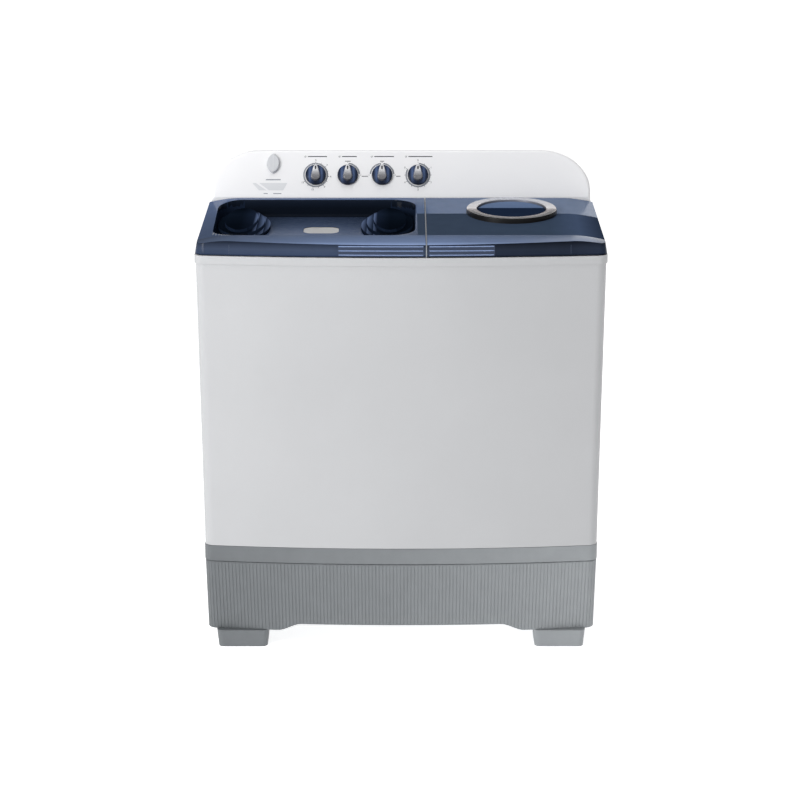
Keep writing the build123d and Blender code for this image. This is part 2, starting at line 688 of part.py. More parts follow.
# ---------------------------------------------------------------- wash tub and its fittings
TUB_FLANGE = 14.0
PULSATOR_R = 140.0
SEAL_R = 14.0
GRILLE_X, GRILLE_Y, GRILLE_R = -60.0, 60.0, 18.0
PIPE_R, PIPE_BORE = 12.0, 10.0

with BuildPart() as wash_tub:
    with BuildSketch(Plane.XY.offset(WASH_FLOOR - WALL)):
        with Locations((WASH_X, WASH_Y)):
            RectangleRounded(WASH_WIDTH + 2 * WALL, WASH_DEPTH + 2 * WALL, WASH_CORNER + WALL)
    extrude(amount=TUB_TOP - WASH_FLOOR + WALL)
    with BuildSketch(Plane.XY.offset(TUB_TOP - 2.0)):
        with Locations((WASH_X, WASH_Y)):
            RectangleRounded(
                WASH_WIDTH + 2 * TUB_FLANGE, WASH_DEPTH + 2 * TUB_FLANGE, WASH_CORNER + TUB_FLANGE
            )
    extrude(amount=2.0)
    with BuildSketch(Plane.XY.offset(WASH_FLOOR)):
        with Locations((WASH_X, WASH_Y)):
            RectangleRounded(WASH_WIDTH, WASH_DEPTH, WASH_CORNER)
    extrude(amount=TUB_TOP - WASH_FLOOR + 1, mode=Mode.SUBTRACT)
    with Locations((WASH_X, WASH_Y, WASH_FLOOR)):
        Cylinder(SEAL_R, 20, mode=Mode.SUBTRACT)
    with Locations((GRILLE_X, GRILLE_Y, WASH_FLOOR)):
        Cylinder(PIPE_BORE, 20, mode=Mode.SUBTRACT)
save(wash_tub, "wash_tub")

with BuildPart() as pulsator:
    with BuildSketch(Plane.XZ):
        with BuildLine():
            Polyline((SHAFT_R, 336), (PULSATOR_R - 4, 336), (PULSATOR_R, 340), (PULSATOR_R, 343))
            Spline((PULSATOR_R, 343), (90, 347), (40, 360), (18, 378))
            Polyline((18, 378), (SHAFT_R, 378), (SHAFT_R, 336))
        make_face()
    revolve(axis=Axis.Z)
    with BuildSketch(Plane.XY.offset(338)):
        with PolarLocations(74, 6):
            SlotOverall(108, 16)
    extrude(amount=26, taper=9)
    with Locations((0, 0, 372)):
        Cylinder(SHAFT_R + 3, 20, mode=Mode.SUBTRACT)
pulsator.part = Pos(WASH_X, WASH_Y, 0) * pulsator.part
save(pulsator, "pulsator")

with BuildPart() as pulsator_screw:
    add(round_bar(WASH_X, WASH_Y, 363, 377, SHAFT_R + 2.9))
    with Locations((WASH_X, WASH_Y, 377)):
        Box(12, 2, 4, mode=Mode.SUBTRACT)
save(pulsator_screw, "pulsator_screw")

GEARBOX_R, GEARBOX_LOW, GEARBOX_HIGH = 58.0, 186.0, 308.0
BRACKET_Z, BRACKET_THICKNESS = 308.4, 4.0

with BuildPart() as pulsator_shaft:
    add(round_bar(WASH_X, WASH_Y, GEARBOX_HIGH - 40, 362, SHAFT_R))
save(pulsator_shaft, "pulsator_shaft")

with BuildPart() as pulsator_seal:
    with BuildSketch(Plane.XZ):
        with BuildLine():
            Polyline(
                (SHAFT_R + RUNNING, WASH_FLOOR - 6),
                (SEAL_R, WASH_FLOOR - 6),
                (SEAL_R, WASH_FLOOR),
                (SEAL_R + 3, WASH_FLOOR),
                (SEAL_R + 3, WASH_FLOOR + 3),
                (SHAFT_R + RUNNING, WASH_FLOOR + 4),
                close=True,
            )
        make_face()
    revolve(axis=Axis.Z)
pulsator_seal.part = Pos(WASH_X, WASH_Y, 0) * pulsator_seal.part
save(pulsator_seal, "pulsator_seal")

with BuildPart() as wash_drain_grille:
    with BuildSketch(Plane.XY.offset(WASH_FLOOR)):
        with Locations((GRILLE_X, GRILLE_Y)):
            Circle(GRILLE_R)
            with PolarLocations(9, 6):
                SlotOverall(12, 3, mode=Mode.SUBTRACT)
    extrude(amount=3)
save(wash_drain_grille, "wash_drain_grille")

FILTER_WIDTH, FILTER_HEIGHT, FILTER_DEPTH = 110.0, 170.0, 16.0
FILTER_X = WASH_X - WASH_WIDTH / 2 + 1.0

with BuildPart() as lint_filter:
    with BuildSketch(Plane.YZ.offset(FILTER_X)):
        with Locations((WASH_Y, 780)):
            RectangleRounded(FILTER_WIDTH, FILTER_HEIGHT, 12)
    extrude(amount=FILTER_DEPTH)
    with BuildSketch(Plane.YZ.offset(FILTER_X + FILTER_DEPTH - 4)):
        with Locations((WASH_Y, 765)):
            with GridLocations(1, 26, 1, 5):
                SlotOverall(84, 14)
    extrude(amount=10, mode=Mode.SUBTRACT)
save(lint_filter, "lint_filter")

# ---------------------------------------------------------------- wash drive
with BuildPart() as wash_gearbox:
    add(round_bar(GEARBOX_X, GEARBOX_Y, GEARBOX_LOW, GEARBOX_HIGH, GEARBOX_R))
    chamfer(wash_gearbox.edges().filter_by(GeomType.CIRCLE), 6)
    add(round_bar(GEARBOX_X, GEARBOX_Y, GEARBOX_HIGH - 50, GEARBOX_HIGH + 1, SHAFT_R + RUNNING), mode=Mode.SUBTRACT)
    add(round_bar(GEARBOX_X, GEARBOX_Y, GEARBOX_LOW - 1, GEARBOX_LOW + 45, SHAFT_R + RUNNING), mode=Mode.SUBTRACT)
save(wash_gearbox, "wash_gearbox")


def pulley(x, y, radius, shaft_top):
    """Grooved pulley with its upright shaft."""
    with BuildPart() as wheel:
        add(round_bar(x, y, PULLEY_BOTTOM, PULLEY_BOTTOM + PULLEY_WIDTH, radius))
        groove_low = PULLEY_BOTTOM + 3.0
        groove_high = PULLEY_BOTTOM + PULLEY_WIDTH - 3.0
        with BuildSketch(Plane.XY.offset(groove_low)):
            with Locations((x, y)):
                Circle(radius + 1)
                Circle(radius - GROOVE_DEPTH, mode=Mode.SUBTRACT)
        extrude(amount=groove_high - groove_low, mode=Mode.SUBTRACT)
        add(round_bar(x, y, PULLEY_BOTTOM - 5, shaft_top, SHAFT_R))
    return wheel


wash_pulley = pulley(GEARBOX_X, GEARBOX_Y, BIG_PULLEY_R, GEARBOX_LOW + 40)
save(wash_pulley, "wash_pulley")
wash_motor_pulley = pulley(MOTOR_X, MOTOR_Y, SMALL_PULLEY_R, 240.0)
save(wash_motor_pulley, "wash_motor_pulley")

BELT_GAP, BELT_THICKNESS = 0.5, 6.0


def belt_outline(extra):
    """Loop around both pulleys, as a sketch at the middle of the grooves."""
    ends = [(GEARBOX_X, GEARBOX_Y, BIG_PULLEY_R), (MOTOR_X, MOTOR_Y, SMALL_PULLEY_R)]
    with BuildSketch(Plane.XY.offset(PULLEY_BOTTOM + 4.0)) as loop:
        for end_x, end_y, end_r in ends:
            with Locations((end_x, end_y)):
                Circle(end_r - GROOVE_DEPTH + BELT_GAP + extra)
        make_hull()
    return loop.sketch


with BuildPart() as drive_belt:
    extrude(belt_outline(BELT_THICKNESS), amount=PULLEY_WIDTH - 8.0)
    extrude(belt_outline(0.0), amount=PULLEY_WIDTH - 8.0, mode=Mode.SUBTRACT)
save(drive_belt, "drive_belt")

with BuildPart() as wash_motor:
    add(round_bar(MOTOR_X, MOTOR_Y, 192, 300, 52))
    chamfer(wash_motor.edges().filter_by(GeomType.CIRCLE), 8)
    add(round_bar(MOTOR_X, MOTOR_Y, 300, BRACKET_Z, 20))
    add(round_bar(MOTOR_X, MOTOR_Y, 190, 245, SHAFT_R + RUNNING), mode=Mode.SUBTRACT)
save(wash_motor, "wash_motor")

with BuildPart() as wash_drive_bracket:
    with BuildSketch(Plane.XY.offset(BRACKET_Z)):
        with Locations((-262, -6)):
            RectangleRounded(284, 250, 24)
        with Locations((WASH_X, WASH_Y)):
            Circle(SHAFT_R + 6, mode=Mode.SUBTRACT)
    extrude(amount=BRACKET_THICKNESS)
    for post_x, post_y in ((-390, -116), (-135, -116), (-390, 104), (-135, 104)):
        add(round_bar(post_x, post_y, BRACKET_Z, WASH_FLOOR - WALL, 7))
save(wash_drive_bracket, "wash_drive_bracket")

# ---------------------------------------------------------------- spin side
with BuildPart() as spin_outer_tub:
    with BuildSketch(Plane.XZ):
        with BuildLine():
            Polyline(
                (36, SPIN_TUB_FLOOR - WALL),
                (SPIN_TUB_R + WALL, SPIN_TUB_FLOOR - WALL),
                (SPIN_TUB_R + WALL, TUB_TOP - 2),
                (SPIN_TUB_R + TUB_FLANGE, TUB_TOP - 2),
                (SPIN_TUB_R + TUB_FLANGE, TUB_TOP),
                (SPIN_TUB_R, TUB_TOP),
                (SPIN_TUB_R, SPIN_TUB_FLOOR),
                (36, SPIN_TUB_FLOOR),
                close=True,
            )
        make_face()
    revolve(axis=Axis.Z)
    with Locations((120.0 - SPIN_X, 60.0 - SPIN_Y, SPIN_TUB_FLOOR)):
        Cylinder(PIPE_BORE, 20, mode=Mode.SUBTRACT)
spin_outer_tub.part = Pos(SPIN_X, SPIN_Y, 0) * spin_outer_tub.part
save(spin_outer_tub, "spin_outer_tub")


def spin_ring(points):
    """Solid of revolution about the spin axis, from radius and height pairs."""
    with BuildPart() as turned:
        with BuildSketch(Plane.XZ):
            with BuildLine():
                Polyline(*points, close=True)
            make_face()
        revolve(axis=Axis.Z)
    turned.part = Pos(SPIN_X, SPIN_Y, 0) * turned.part
    return turned


HUB_R, HUB_TOP = 36.0, 392.0
MOUTH_R = 133.0

spin_basket = spin_ring([
    (SHAFT_R, BASKET_FLOOR), (BASKET_R, BASKET_FLOOR), (BASKET_R, BASKET_TOP - 26),
    (BASKET_R - 2, BASKET_TOP - 26), (BASKET_R - 2, BASKET_FLOOR + 3), (HUB_R, BASKET_FLOOR + 3),
    (HUB_R - 6, HUB_TOP), (SHAFT_R, HUB_TOP),
])
save(spin_basket, "spin_basket")

basket_balance_ring = spin_ring([
    (MOUTH_R, BASKET_TOP - 22), (MOUTH_R + 4, BASKET_TOP - 26), (BASKET_R + 3, BASKET_TOP - 26),
    (BASKET_R + 3, BASKET_TOP - 3), (BASKET_R, BASKET_TOP), (MOUTH_R + 3, BASKET_TOP),
    (MOUTH_R, BASKET_TOP - 3),
])
save(basket_balance_ring, "basket_balance_ring")

with BuildPart() as spin_hold_down_disc:
    with BuildSketch(Plane.XY.offset(BASKET_FLOOR + 4.0)):
        with Locations((SPIN_X, SPIN_Y)):
            Circle(MOUTH_R - 5)
            Circle(HUB_R + 1, mode=Mode.SUBTRACT)
            with PolarLocations(82, 8):
                SlotOverall(56, 16, mode=Mode.SUBTRACT)
    extrude(amount=4)
save(spin_hold_down_disc, "spin_hold_down_disc")

SPIN_MOTOR_LOW, SPIN_MOTOR_HIGH, SPIN_MOTOR_R = 104.0, 198.0, 62.0
BRAKE_LOW, BRAKE_HIGH = 212.0, 240.0

with BuildPart() as spin_shaft:
    add(round_bar(SPIN_X, SPIN_Y, SPIN_MOTOR_LOW + 20, HUB_TOP - 4, SHAFT_R))
save(spin_shaft, "spin_shaft")

brake_drum = spin_ring([
    (SHAFT_R, BRAKE_LOW), (BRAKE_R, BRAKE_LOW), (BRAKE_R, BRAKE_HIGH),
    (BRAKE_R - 5, BRAKE_HIGH), (BRAKE_R - 5, BRAKE_LOW + 5), (20, BRAKE_LOW + 5),
    (16, BRAKE_HIGH + 20), (SHAFT_R, BRAKE_HIGH + 20),
])
save(brake_drum, "brake_drum")

spin_bellows = spin_ring([
    (SHAFT_R + RUNNING, 286), (22, 286), (30, 278), (36, 282), (42, 290), (42, 296.8),
    (34, 296.8), (30, 288), (24, 296), (16, 300), (16, 310), (SHAFT_R + RUNNING, 310),
])
save(spin_bellows, "spin_bellows")

BRAKE_GAP = 3.0
PAD_REACH = 8.2
PIVOT_X, PIVOT_Y = SPIN_X + BRAKE_R + BRAKE_GAP + PAD_REACH, SPIN_Y - 62.0

with BuildPart() as brake_lever:
    with BuildSketch(Plane.XY.offset(BRAKE_LOW + 6)):
        with Locations((PIVOT_X, PIVOT_Y)):
            Circle(8)
            Circle(4 + RUNNING, mode=Mode.SUBTRACT)
        with Locations((PIVOT_X, PIVOT_Y + 56)):
            Rectangle(10, 100)
        with Locations((PIVOT_X - PAD_REACH + 2.0, PIVOT_Y + 62)):
            Rectangle(4.0, 26)
    extrude(amount=14)
save(brake_lever, "brake_lever")

with BuildPart() as spin_motor:
    add(round_bar(SPIN_X, SPIN_Y, SPIN_MOTOR_LOW, SPIN_MOTOR_HIGH, SPIN_MOTOR_R))
    chamfer(spin_motor.edges().filter_by(GeomType.CIRCLE), 9)
    with BuildSketch(Plane.XY.offset(SPIN_MOTOR_LOW)):
        with Locations((SPIN_X, SPIN_Y)):
            with PolarLocations(70, 3):
                Circle(22)
            Circle(SPIN_MOTOR_R - 10)
    extrude(amount=5)
    add(round_bar(PIVOT_X, PIVOT_Y, SPIN_MOTOR_LOW, BRAKE_LOW + 24, 4))
    with BuildSketch(Plane.XY.offset(SPIN_MOTOR_LOW)):
        with Locations(((PIVOT_X + SPIN_X) / 2 + 8, (PIVOT_Y + SPIN_Y) / 2)):
            RectangleRounded(60, 90, 10)
    extrude(amount=5)
    add(
        round_bar(SPIN_X, SPIN_Y, SPIN_MOTOR_LOW + 15, SPIN_MOTOR_HIGH + 1, SHAFT_R + RUNNING),
        mode=Mode.SUBTRACT,
    )
save(spin_motor, "spin_motor")

SPRING_R, SPRING_WIRE, SPRING_TURNS = 11.0, 1.6, 5

with BuildPart() as spring_coil:
    spring_height = SPIN_MOTOR_LOW - BASE_FLOOR - WALL - 2 * SPRING_WIRE
    with BuildLine() as spring_path:
        Helix(pitch=spring_height / SPRING_TURNS, height=spring_height, radius=SPRING_R)
    with BuildSketch(Plane(origin=spring_path.line @ 0, z_dir=spring_path.line % 0)):
        Circle(SPRING_WIRE)
    sweep(is_frenet=True)

with BuildPart() as spin_motor_springs:
    with Locations(Pos(SPIN_X, SPIN_Y, BASE_FLOOR + WALL + SPRING_WIRE)):
        with PolarLocations(70, 3):
            add(spring_coil.part)
save(spin_motor_springs, "spin_motor_springs")

# ---------------------------------------------------------------- drain
VALVE_R, VALVE_LOW, VALVE_HIGH = 26.0, 215.0, 300.0

with BuildPart() as drain_valve_body:
    add(round_bar(VALVE_X, VALVE_Y, VALVE_LOW, VALVE_HIGH, VALVE_R))
    add(round_bar(VALVE_X, VALVE_Y, VALVE_LOW + 4, VALVE_HIGH - 4, VALVE_R - 4), mode=Mode.SUBTRACT)
    add(round_bar(VALVE_X, VALVE_Y, VALVE_HIGH - 6, VALVE_HIGH + 1, 3.5), mode=Mode.SUBTRACT)
    add(round_bar(VALVE_X, VALVE_Y, VALVE_LOW - 1, VALVE_LOW + 6, 12), mode=Mode.SUBTRACT)
save(drain_valve_body, "drain_valve_body")

with BuildPart() as drain_valve_plug:
    add(round_bar(VALVE_X, VALVE_Y, VALVE_LOW + 4.4, VALVE_LOW + 16, 18))
    add(round_bar(VALVE_X, VALVE_Y, VALVE_LOW + 16, VALVE_HIGH + 40, 3))
save(drain_valve_plug, "drain_valve_plug")


def pipe(route, radius, bore):
    """Bent pipe along a route with one rounded corner."""
    bend = 2.0 * radius
    with BuildPart() as tube:
        with BuildLine() as centre:
            FilletPolyline(*route, radius=bend)
        with BuildSketch(Plane(origin=centre.line @ 0, z_dir=centre.line % 0)):
            Circle(radius)
            Circle(bore, mode=Mode.SUBTRACT)
        sweep()
    return tube


wash_drain_pipe = pipe([
    (GRILLE_X, GRILLE_Y, WASH_FLOOR - WALL),
    (GRILLE_X, GRILLE_Y, 275),
    (VALVE_X - VALVE_R, GRILLE_Y, 275),
], PIPE_R, PIPE_BORE)
save(wash_drain_pipe, "wash_drain_pipe")

spin_drain_pipe = pipe([
    (120, 60, SPIN_TUB_FLOOR - WALL),
    (120, 60, 250),
    (VALVE_X + VALVE_R, 60, 250),
], PIPE_R, PIPE_BORE)
save(spin_drain_pipe, "spin_drain_pipe")

DRAIN_TIP = SPIGOT_TIP - 3.0
DRAIN_STUB = 18.0
drain_bend = pipe([
    (VALVE_X, VALVE_Y, VALVE_LOW),
    (VALVE_X, VALVE_Y, DRAIN_Z),
    (VALVE_X, DRAIN_TIP - DRAIN_STUB + 1.0, DRAIN_Z),
], DRAIN_PIPE_R - 1.0, DRAIN_PIPE_R - 3.5)

with BuildPart() as drain_outlet_pipe:
    add(drain_bend.part)
    with BuildSketch(Plane.XZ.offset(-DRAIN_TIP)):
        with Locations((VALVE_X, DRAIN_Z)):
            Circle(DRAIN_PIPE_R)
            Circle(DRAIN_PIPE_R - 3.5, mode=Mode.SUBTRACT)
    extrude(amount=DRAIN_STUB)
save(drain_outlet_pipe, "drain_outlet_pipe")

with BuildPart() as lid_switch:
    with Locations((300, 200, 948)):
        Box(46, 22, 26)
    fillet(lid_switch.edges().filter_by(Axis.Z), 3)
    with Locations((300, 184, 954)):
        Box(10, 14, 6)
save(lid_switch, "lid_switch")
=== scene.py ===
import json
import math

import bmesh
import bpy
from mathutils import Matrix, Vector
from mathutils.bvhtree import BVHTree


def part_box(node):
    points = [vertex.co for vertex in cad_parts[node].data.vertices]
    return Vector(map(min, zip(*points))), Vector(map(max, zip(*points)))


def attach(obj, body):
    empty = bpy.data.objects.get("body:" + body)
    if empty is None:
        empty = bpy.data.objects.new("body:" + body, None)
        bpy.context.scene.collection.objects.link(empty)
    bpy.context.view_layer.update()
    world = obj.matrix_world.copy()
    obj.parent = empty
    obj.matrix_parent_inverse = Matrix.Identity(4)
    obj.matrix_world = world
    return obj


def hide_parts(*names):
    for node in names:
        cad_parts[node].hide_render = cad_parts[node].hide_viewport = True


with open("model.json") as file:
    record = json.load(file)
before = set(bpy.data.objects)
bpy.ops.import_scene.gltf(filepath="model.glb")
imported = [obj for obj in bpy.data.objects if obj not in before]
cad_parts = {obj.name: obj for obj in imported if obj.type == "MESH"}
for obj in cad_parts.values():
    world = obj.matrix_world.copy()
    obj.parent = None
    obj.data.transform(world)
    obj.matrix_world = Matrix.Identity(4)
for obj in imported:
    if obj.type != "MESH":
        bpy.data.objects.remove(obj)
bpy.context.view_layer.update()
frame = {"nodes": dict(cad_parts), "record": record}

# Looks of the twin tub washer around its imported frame. Metres, +X right, +Y back, +Z up.
NODES = frame["nodes"]
JOINTS = {joint["name"]: joint for joint in frame["record"]["behaviour"]["joints"]}
KNOB_Z = JOINTS["wash_timer_turn"]["pos_m"][2]
FLOOR_GLOW = 0.8
WORLD_BRIGHT_SIDE = (-0.75, -0.55, 0.35)
WORLD_BRIGHT, WORLD_DIM = 0.5, 0.12
KEY_POWER, TOP_POWER, BACK_POWER = 30.0, 34.0, 30.0


# ---------------------------------------------------------------- materials
def srgb(red, green, blue):
    """Linear colour from 0 to 255 display values."""
    return tuple(
        c / 12.92 if c <= 0.04045 else ((c + 0.055) / 1.055) ** 2.4
        for c in (red / 255, green / 255, blue / 255)
    ) + (1.0,)


class Finish:
    """A node material: a principled shader with noise-driven colour, roughness and relief."""

    def __init__(self, name):
        self.material = bpy.data.materials.new(name)
        self.material.use_nodes = True
        self.tree = self.material.node_tree
        self.shader = self.tree.nodes["Principled BSDF"]
        coordinates = self.tree.nodes.new("ShaderNodeTexCoord")
        self.place = coordinates.outputs["Object"]
        self.height = None

    def node(self, kind, **values):
        made = self.tree.nodes.new(kind)
        for key, value in values.items():
            setattr(made, key, value)
        return made

    def link(self, out, into):
        self.tree.links.new(out, into)

    def stretched(self, scale):
        """Object coordinates scaled on each axis."""
        mapping = self.node("ShaderNodeMapping")
        mapping.inputs["Scale"].default_value = scale
        self.link(self.place, mapping.inputs["Vector"])
        return mapping.outputs["Vector"]

    def noise(self, scale, detail=3.0, roughness=0.5, place=None):
        texture = self.node("ShaderNodeTexNoise")
        texture.inputs["Scale"].default_value = scale
        texture.inputs["Detail"].default_value = detail
        texture.inputs["Roughness"].default_value = roughness
        self.link(place or self.place, texture.inputs["Vector"])
        return texture.outputs["Fac"]

    def ranged(self, value, low, high, start=0.35, stop=0.65):
        """Map a 0 to 1 value onto low to high."""
        ramp = self.node("ShaderNodeMapRange")
        ramp.inputs["From Min"].default_value = start
        ramp.inputs["From Max"].default_value = stop
        ramp.inputs["To Min"].default_value = low
        ramp.inputs["To Max"].default_value = high
        self.link(value, ramp.inputs["Value"])
        return ramp.outputs["Result"]

    def axis(self, name, start, stop):
        """0 to 1 as one object coordinate goes from start to stop."""
        split = self.node("ShaderNodeSeparateXYZ")
        self.link(self.place, split.inputs["Vector"])
        return self.ranged(split.outputs[name], 0.0, 1.0, start, stop)

    def radial(self, centre, start, stop):
        """0 to 1 as the distance from an upright axis goes from start to stop."""
        mapping = self.node("ShaderNodeMapping")
        mapping.inputs["Location"].default_value = (-centre[0], -centre[1], 0.0)
        self.link(self.place, mapping.inputs["Vector"])
        flat = self.node("ShaderNodeVectorMath", operation="MULTIPLY")
        flat.inputs[1].default_value = (1.0, 1.0, 0.0)
        self.link(mapping.outputs["Vector"], flat.inputs[0])
        length = self.node("ShaderNodeVectorMath", operation="LENGTH")
        self.link(flat.outputs["Vector"], length.inputs[0])
        return self.ranged(length.outputs["Value"], 0.0, 1.0, start, stop)

    def ramp(self, amount, stops):
        """Colour from a list of (place, colour) stops."""
        ramp = self.node("ShaderNodeValToRGB")
        elements = ramp.color_ramp.elements
        elements[0].position, elements[0].color = stops[0]
        elements[1].position, elements[1].color = stops[-1]
        for place, colour in stops[1:-1]:
            elements.new(place).color = colour
        self.link(amount, ramp.inputs["Fac"])
        return ramp.outputs["Color"]

    def times(self, first, second):
        mix = self.node("ShaderNodeMix", data_type="RGBA", blend_type="MULTIPLY")
        mix.inputs["Factor"].default_value = 1.0
        self.link(first, mix.inputs["A"])
        self.link(second, mix.inputs["B"])
        return mix.outputs["Result"]

    def faded(self, amount, first, second):
        """From a changing colour to a fixed one."""
        mix = self.node("ShaderNodeMix", data_type="RGBA")
        mix.inputs["B"].default_value = second
        self.link(first, mix.inputs["A"])
        self.link(amount, mix.inputs["Factor"])
        return mix.outputs["Result"]

    def mixed(self, amount, first, second):
        mix = self.node("ShaderNodeMix", data_type="RGBA")
        mix.inputs["A"].default_value = first
        mix.inputs["B"].default_value = second
        self.link(amount, mix.inputs["Factor"])
        return mix.outputs["Result"]

    def colour(self, out):
        self.link(out, self.shader.inputs["Base Color"])

    def roughness(self, out):
        self.link(out, self.shader.inputs["Roughness"])

    def relief(self, height, strength, distance):
        bump = self.node("ShaderNodeBump")
        bump.inputs["Strength"].default_value = strength
        bump.inputs["Distance"].default_value = distance
        self.link(height, bump.inputs["Height"])
        if self.height is not None:
            self.link(self.height, bump.inputs["Normal"])
        self.height = bump.outputs["Normal"]
        self.link(self.height, self.shader.inputs["Normal"])

    def speckle(self, base, speck, scale, start=0.62):
        """Sparse small specks of another colour."""
        amount = self.ranged(self.noise(scale, 2.0, 0.6), 0.0, 1.0, start, start + 0.08)
        return self.faded(amount, base, speck)


# Noise scales, in features per metre.
DRIFT, WAVES, TINT_DRIFT, FLOW, CAST_DRIFT, DUST, GLOSS_PATCHES = 3.0, 160.0, 4.0, 5.0, 30.0, 30.0, 35.0
HAIRLINES, MATTE_PATCHES, METAL_GRAIN, METAL_SPECKS = 60.0, 80.0, 120.0, 260.0
SPECKS, PEBBLES, POLISH_GRAIN, MOULD_GRAIN = 420.0, 500.0, 700.0, 900.0
HAIR_STRETCH, BRUSHED, EVEN = (1.0, 14.0, 6.0), (1.0, 1.0, 40.0), (1.0, 1.0, 1.0)


def moulded(name, light, dark, gloss=(0.32, 0.42)):
    """Moulded plastic: slow colour drift, fine grain, uneven gloss."""
    finish = Finish(name)
    drift = finish.ranged(finish.noise(DRIFT, 4.0), 0.0, 1.0, 0.3, 0.7)
    base = finish.mixed(drift, light, dark)
    finish.colour(finish.speckle(base, dark, SPECKS))
    finish.roughness(finish.ranged(finish.noise(GLOSS_PATCHES, 5.0), *gloss))
    finish.relief(finish.noise(MOULD_GRAIN, 2.0, 0.6), 0.06, 0.0004)
    finish.relief(finish.noise(WAVES, 2.0), 0.02, 0.0004)
    return finish


def tinted(name, light, dark, gloss=(0.07, 0.16), coat=0.6):
    """Polished dark tinted moulding with faint flow marks and fine hairline scratches."""
    finish = Finish(name)
    drift = finish.ranged(finish.noise(TINT_DRIFT, 3.0), 0.0, 1.0, 0.3, 0.7)
    finish.colour(finish.mixed(drift, light, dark))
    hair = finish.noise(HAIRLINES, 6.0, 0.7, finish.stretched(HAIR_STRETCH))
    finish.roughness(finish.ranged(hair, *gloss))
    finish.relief(finish.noise(FLOW, 2.0), 0.07, 0.002)
    finish.relief(finish.noise(POLISH_GRAIN, 2.0), 0.015, 0.0003)
    finish.shader.inputs["Coat Weight"].default_value = coat
    finish.shader.inputs["Coat Roughness"].default_value = 0.04
    finish.shader.inputs["Specular IOR Level"].default_value = 0.6
    return finish


def metal(name, light, dark, gloss, brush=BRUSHED, relief=0.08):
    """Metal with a brushed or turned grain."""
    finish = Finish(name)
    grain = finish.noise(METAL_GRAIN, 5.0, 0.65, finish.stretched(brush))
    base = finish.mixed(finish.ranged(grain, 0.0, 1.0), light, dark)
    finish.colour(finish.speckle(base, dark, METAL_SPECKS, 0.66))
    finish.roughness(finish.ranged(grain, *gloss))
    finish.relief(grain, relief, 0.0003)
    finish.shader.inputs["Metallic"].default_value = 1.0
    return finish


def soft_rubber(name, light, dark):
    """Matte rubber with dust and a pebbled surface."""
    finish = Finish(name)
    dust = finish.ranged(finish.noise(DUST, 5.0), 0.0, 1.0, 0.4, 0.75)
    finish.colour(finish.mixed(dust, light, dark))
    finish.roughness(finish.ranged(finish.noise(MATTE_PATCHES), 0.62, 0.85))
    finish.relief(finish.noise(PEBBLES, 3.0), 0.2, 0.0005)
    return finish


def grey(value):
    """Linear factor as a neutral colour."""
    return (value, value, value, 1.0)


def graded(name, layers, gloss=(0.12, 0.24), specular=0.2, metallic=0.0):
    """Moulding or trim whose colour changes along the object's own axes, with fine flow marks; here those
    colour ramps are painted light and shade.
    """
    finish = Finish(name)
    drift = finish.ranged(finish.noise(CAST_DRIFT, 4.0), 0.0, 1.0, 0.3, 0.7)
    base = finish.mixed(drift, grey(0.93), grey(1.0))
    for axis, start, stop, stops in layers:
        base = finish.times(base, finish.ramp(finish.axis(axis, start, stop), stops))
    finish.colour(base)
    hair = finish.noise(HAIRLINES, 6.0, 0.7, finish.stretched(HAIR_STRETCH))
    finish.roughness(finish.ranged(hair, *gloss))
    finish.relief(finish.noise(POLISH_GRAIN, 2.0), 0.02, 0.0003)
    finish.shader.inputs["Specular IOR Level"].default_value = specular
    finish.shader.inputs["Metallic"].default_value = metallic
    return finish


LOOKS = {
    "cabinet_grey": moulded("cabinet_grey", srgb(181, 182, 184), srgb(177, 178, 180), (0.34, 0.44)),
    "white_plastic": moulded("white_plastic", srgb(243, 243, 244), srgb(240, 240, 242), (0.30, 0.40)),
    # Painted light: the base's grey is painted darker at the left and lighter at the right, standing in for
    # light falling from the low right.
    "base_grey": graded("base_grey", [
        ("X", -0.46, 0.46, [
            (0.0, srgb(101, 105, 108)), (0.5, srgb(122, 126, 129)), (1.0, srgb(148, 152, 155)),
        ]),
    ], (0.42, 0.54), 0.4),
    "lid_blue": tinted("lid_blue", srgb(62, 77, 110), srgb(52, 66, 98)),
    "window_blue": tinted("window_blue", srgb(46, 58, 84), srgb(38, 50, 74), (0.04, 0.09), 0.8),
    "slot_grey": moulded("slot_grey", srgb(194, 194, 194), srgb(186, 186, 186)),
    "dial_blue": tinted("dial_blue", srgb(36, 50, 84), srgb(27, 39, 68), (0.12, 0.22), 0.5),
    # Painted light: the grip is painted grey low down and nearly white near its tip, a painted highlight.
    "grip_silver": graded("grip_silver", [
        ("Z", KNOB_Z - 0.017, KNOB_Z + 0.022, [
            (0.0, srgb(150, 150, 154)), (0.22, srgb(112, 112, 116)), (0.5, srgb(132, 132, 136)),
            (0.7, srgb(190, 191, 195)), (0.86, srgb(240, 241, 243)), (1.0, srgb(226, 227, 231)),
        ]),
    ], (0.2, 0.32), 0.5, 0.3),
    "pale_grey": moulded("pale_grey", srgb(212, 213, 217), srgb(204, 206, 210)),
    "tub_plastic": moulded("tub_plastic", srgb(232, 234, 237), srgb(224, 226, 230), (0.22, 0.32)),
    "basket_grey": moulded("basket_grey", srgb(216, 219, 223), srgb(206, 210, 214), (0.24, 0.34)),
    "black_plastic": moulded("black_plastic", srgb(44, 45, 48), srgb(34, 35, 38), (0.42, 0.55)),
    "steel": metal("steel", srgb(196, 198, 201), srgb(168, 170, 174), (0.22, 0.36)),
    "zinc_sheet": metal("zinc_sheet", srgb(186, 190, 193), srgb(160, 166, 170), (0.34, 0.5), EVEN),
    "motor_grey": metal("motor_grey", srgb(132, 135, 140), srgb(108, 111, 116), (0.42, 0.58), EVEN, 0.15),
    "cast_alloy": metal("cast_alloy", srgb(178, 180, 183), srgb(150, 152, 156), (0.36, 0.52), EVEN, 0.2),
    "rubber_black": soft_rubber("rubber_black", srgb(36, 36, 37), srgb(58, 57, 55)),
    "chrome_trim": metal("chrome_trim", srgb(200, 201, 205), srgb(186, 188, 193), (0.08, 0.16), EVEN, 0.01),
}
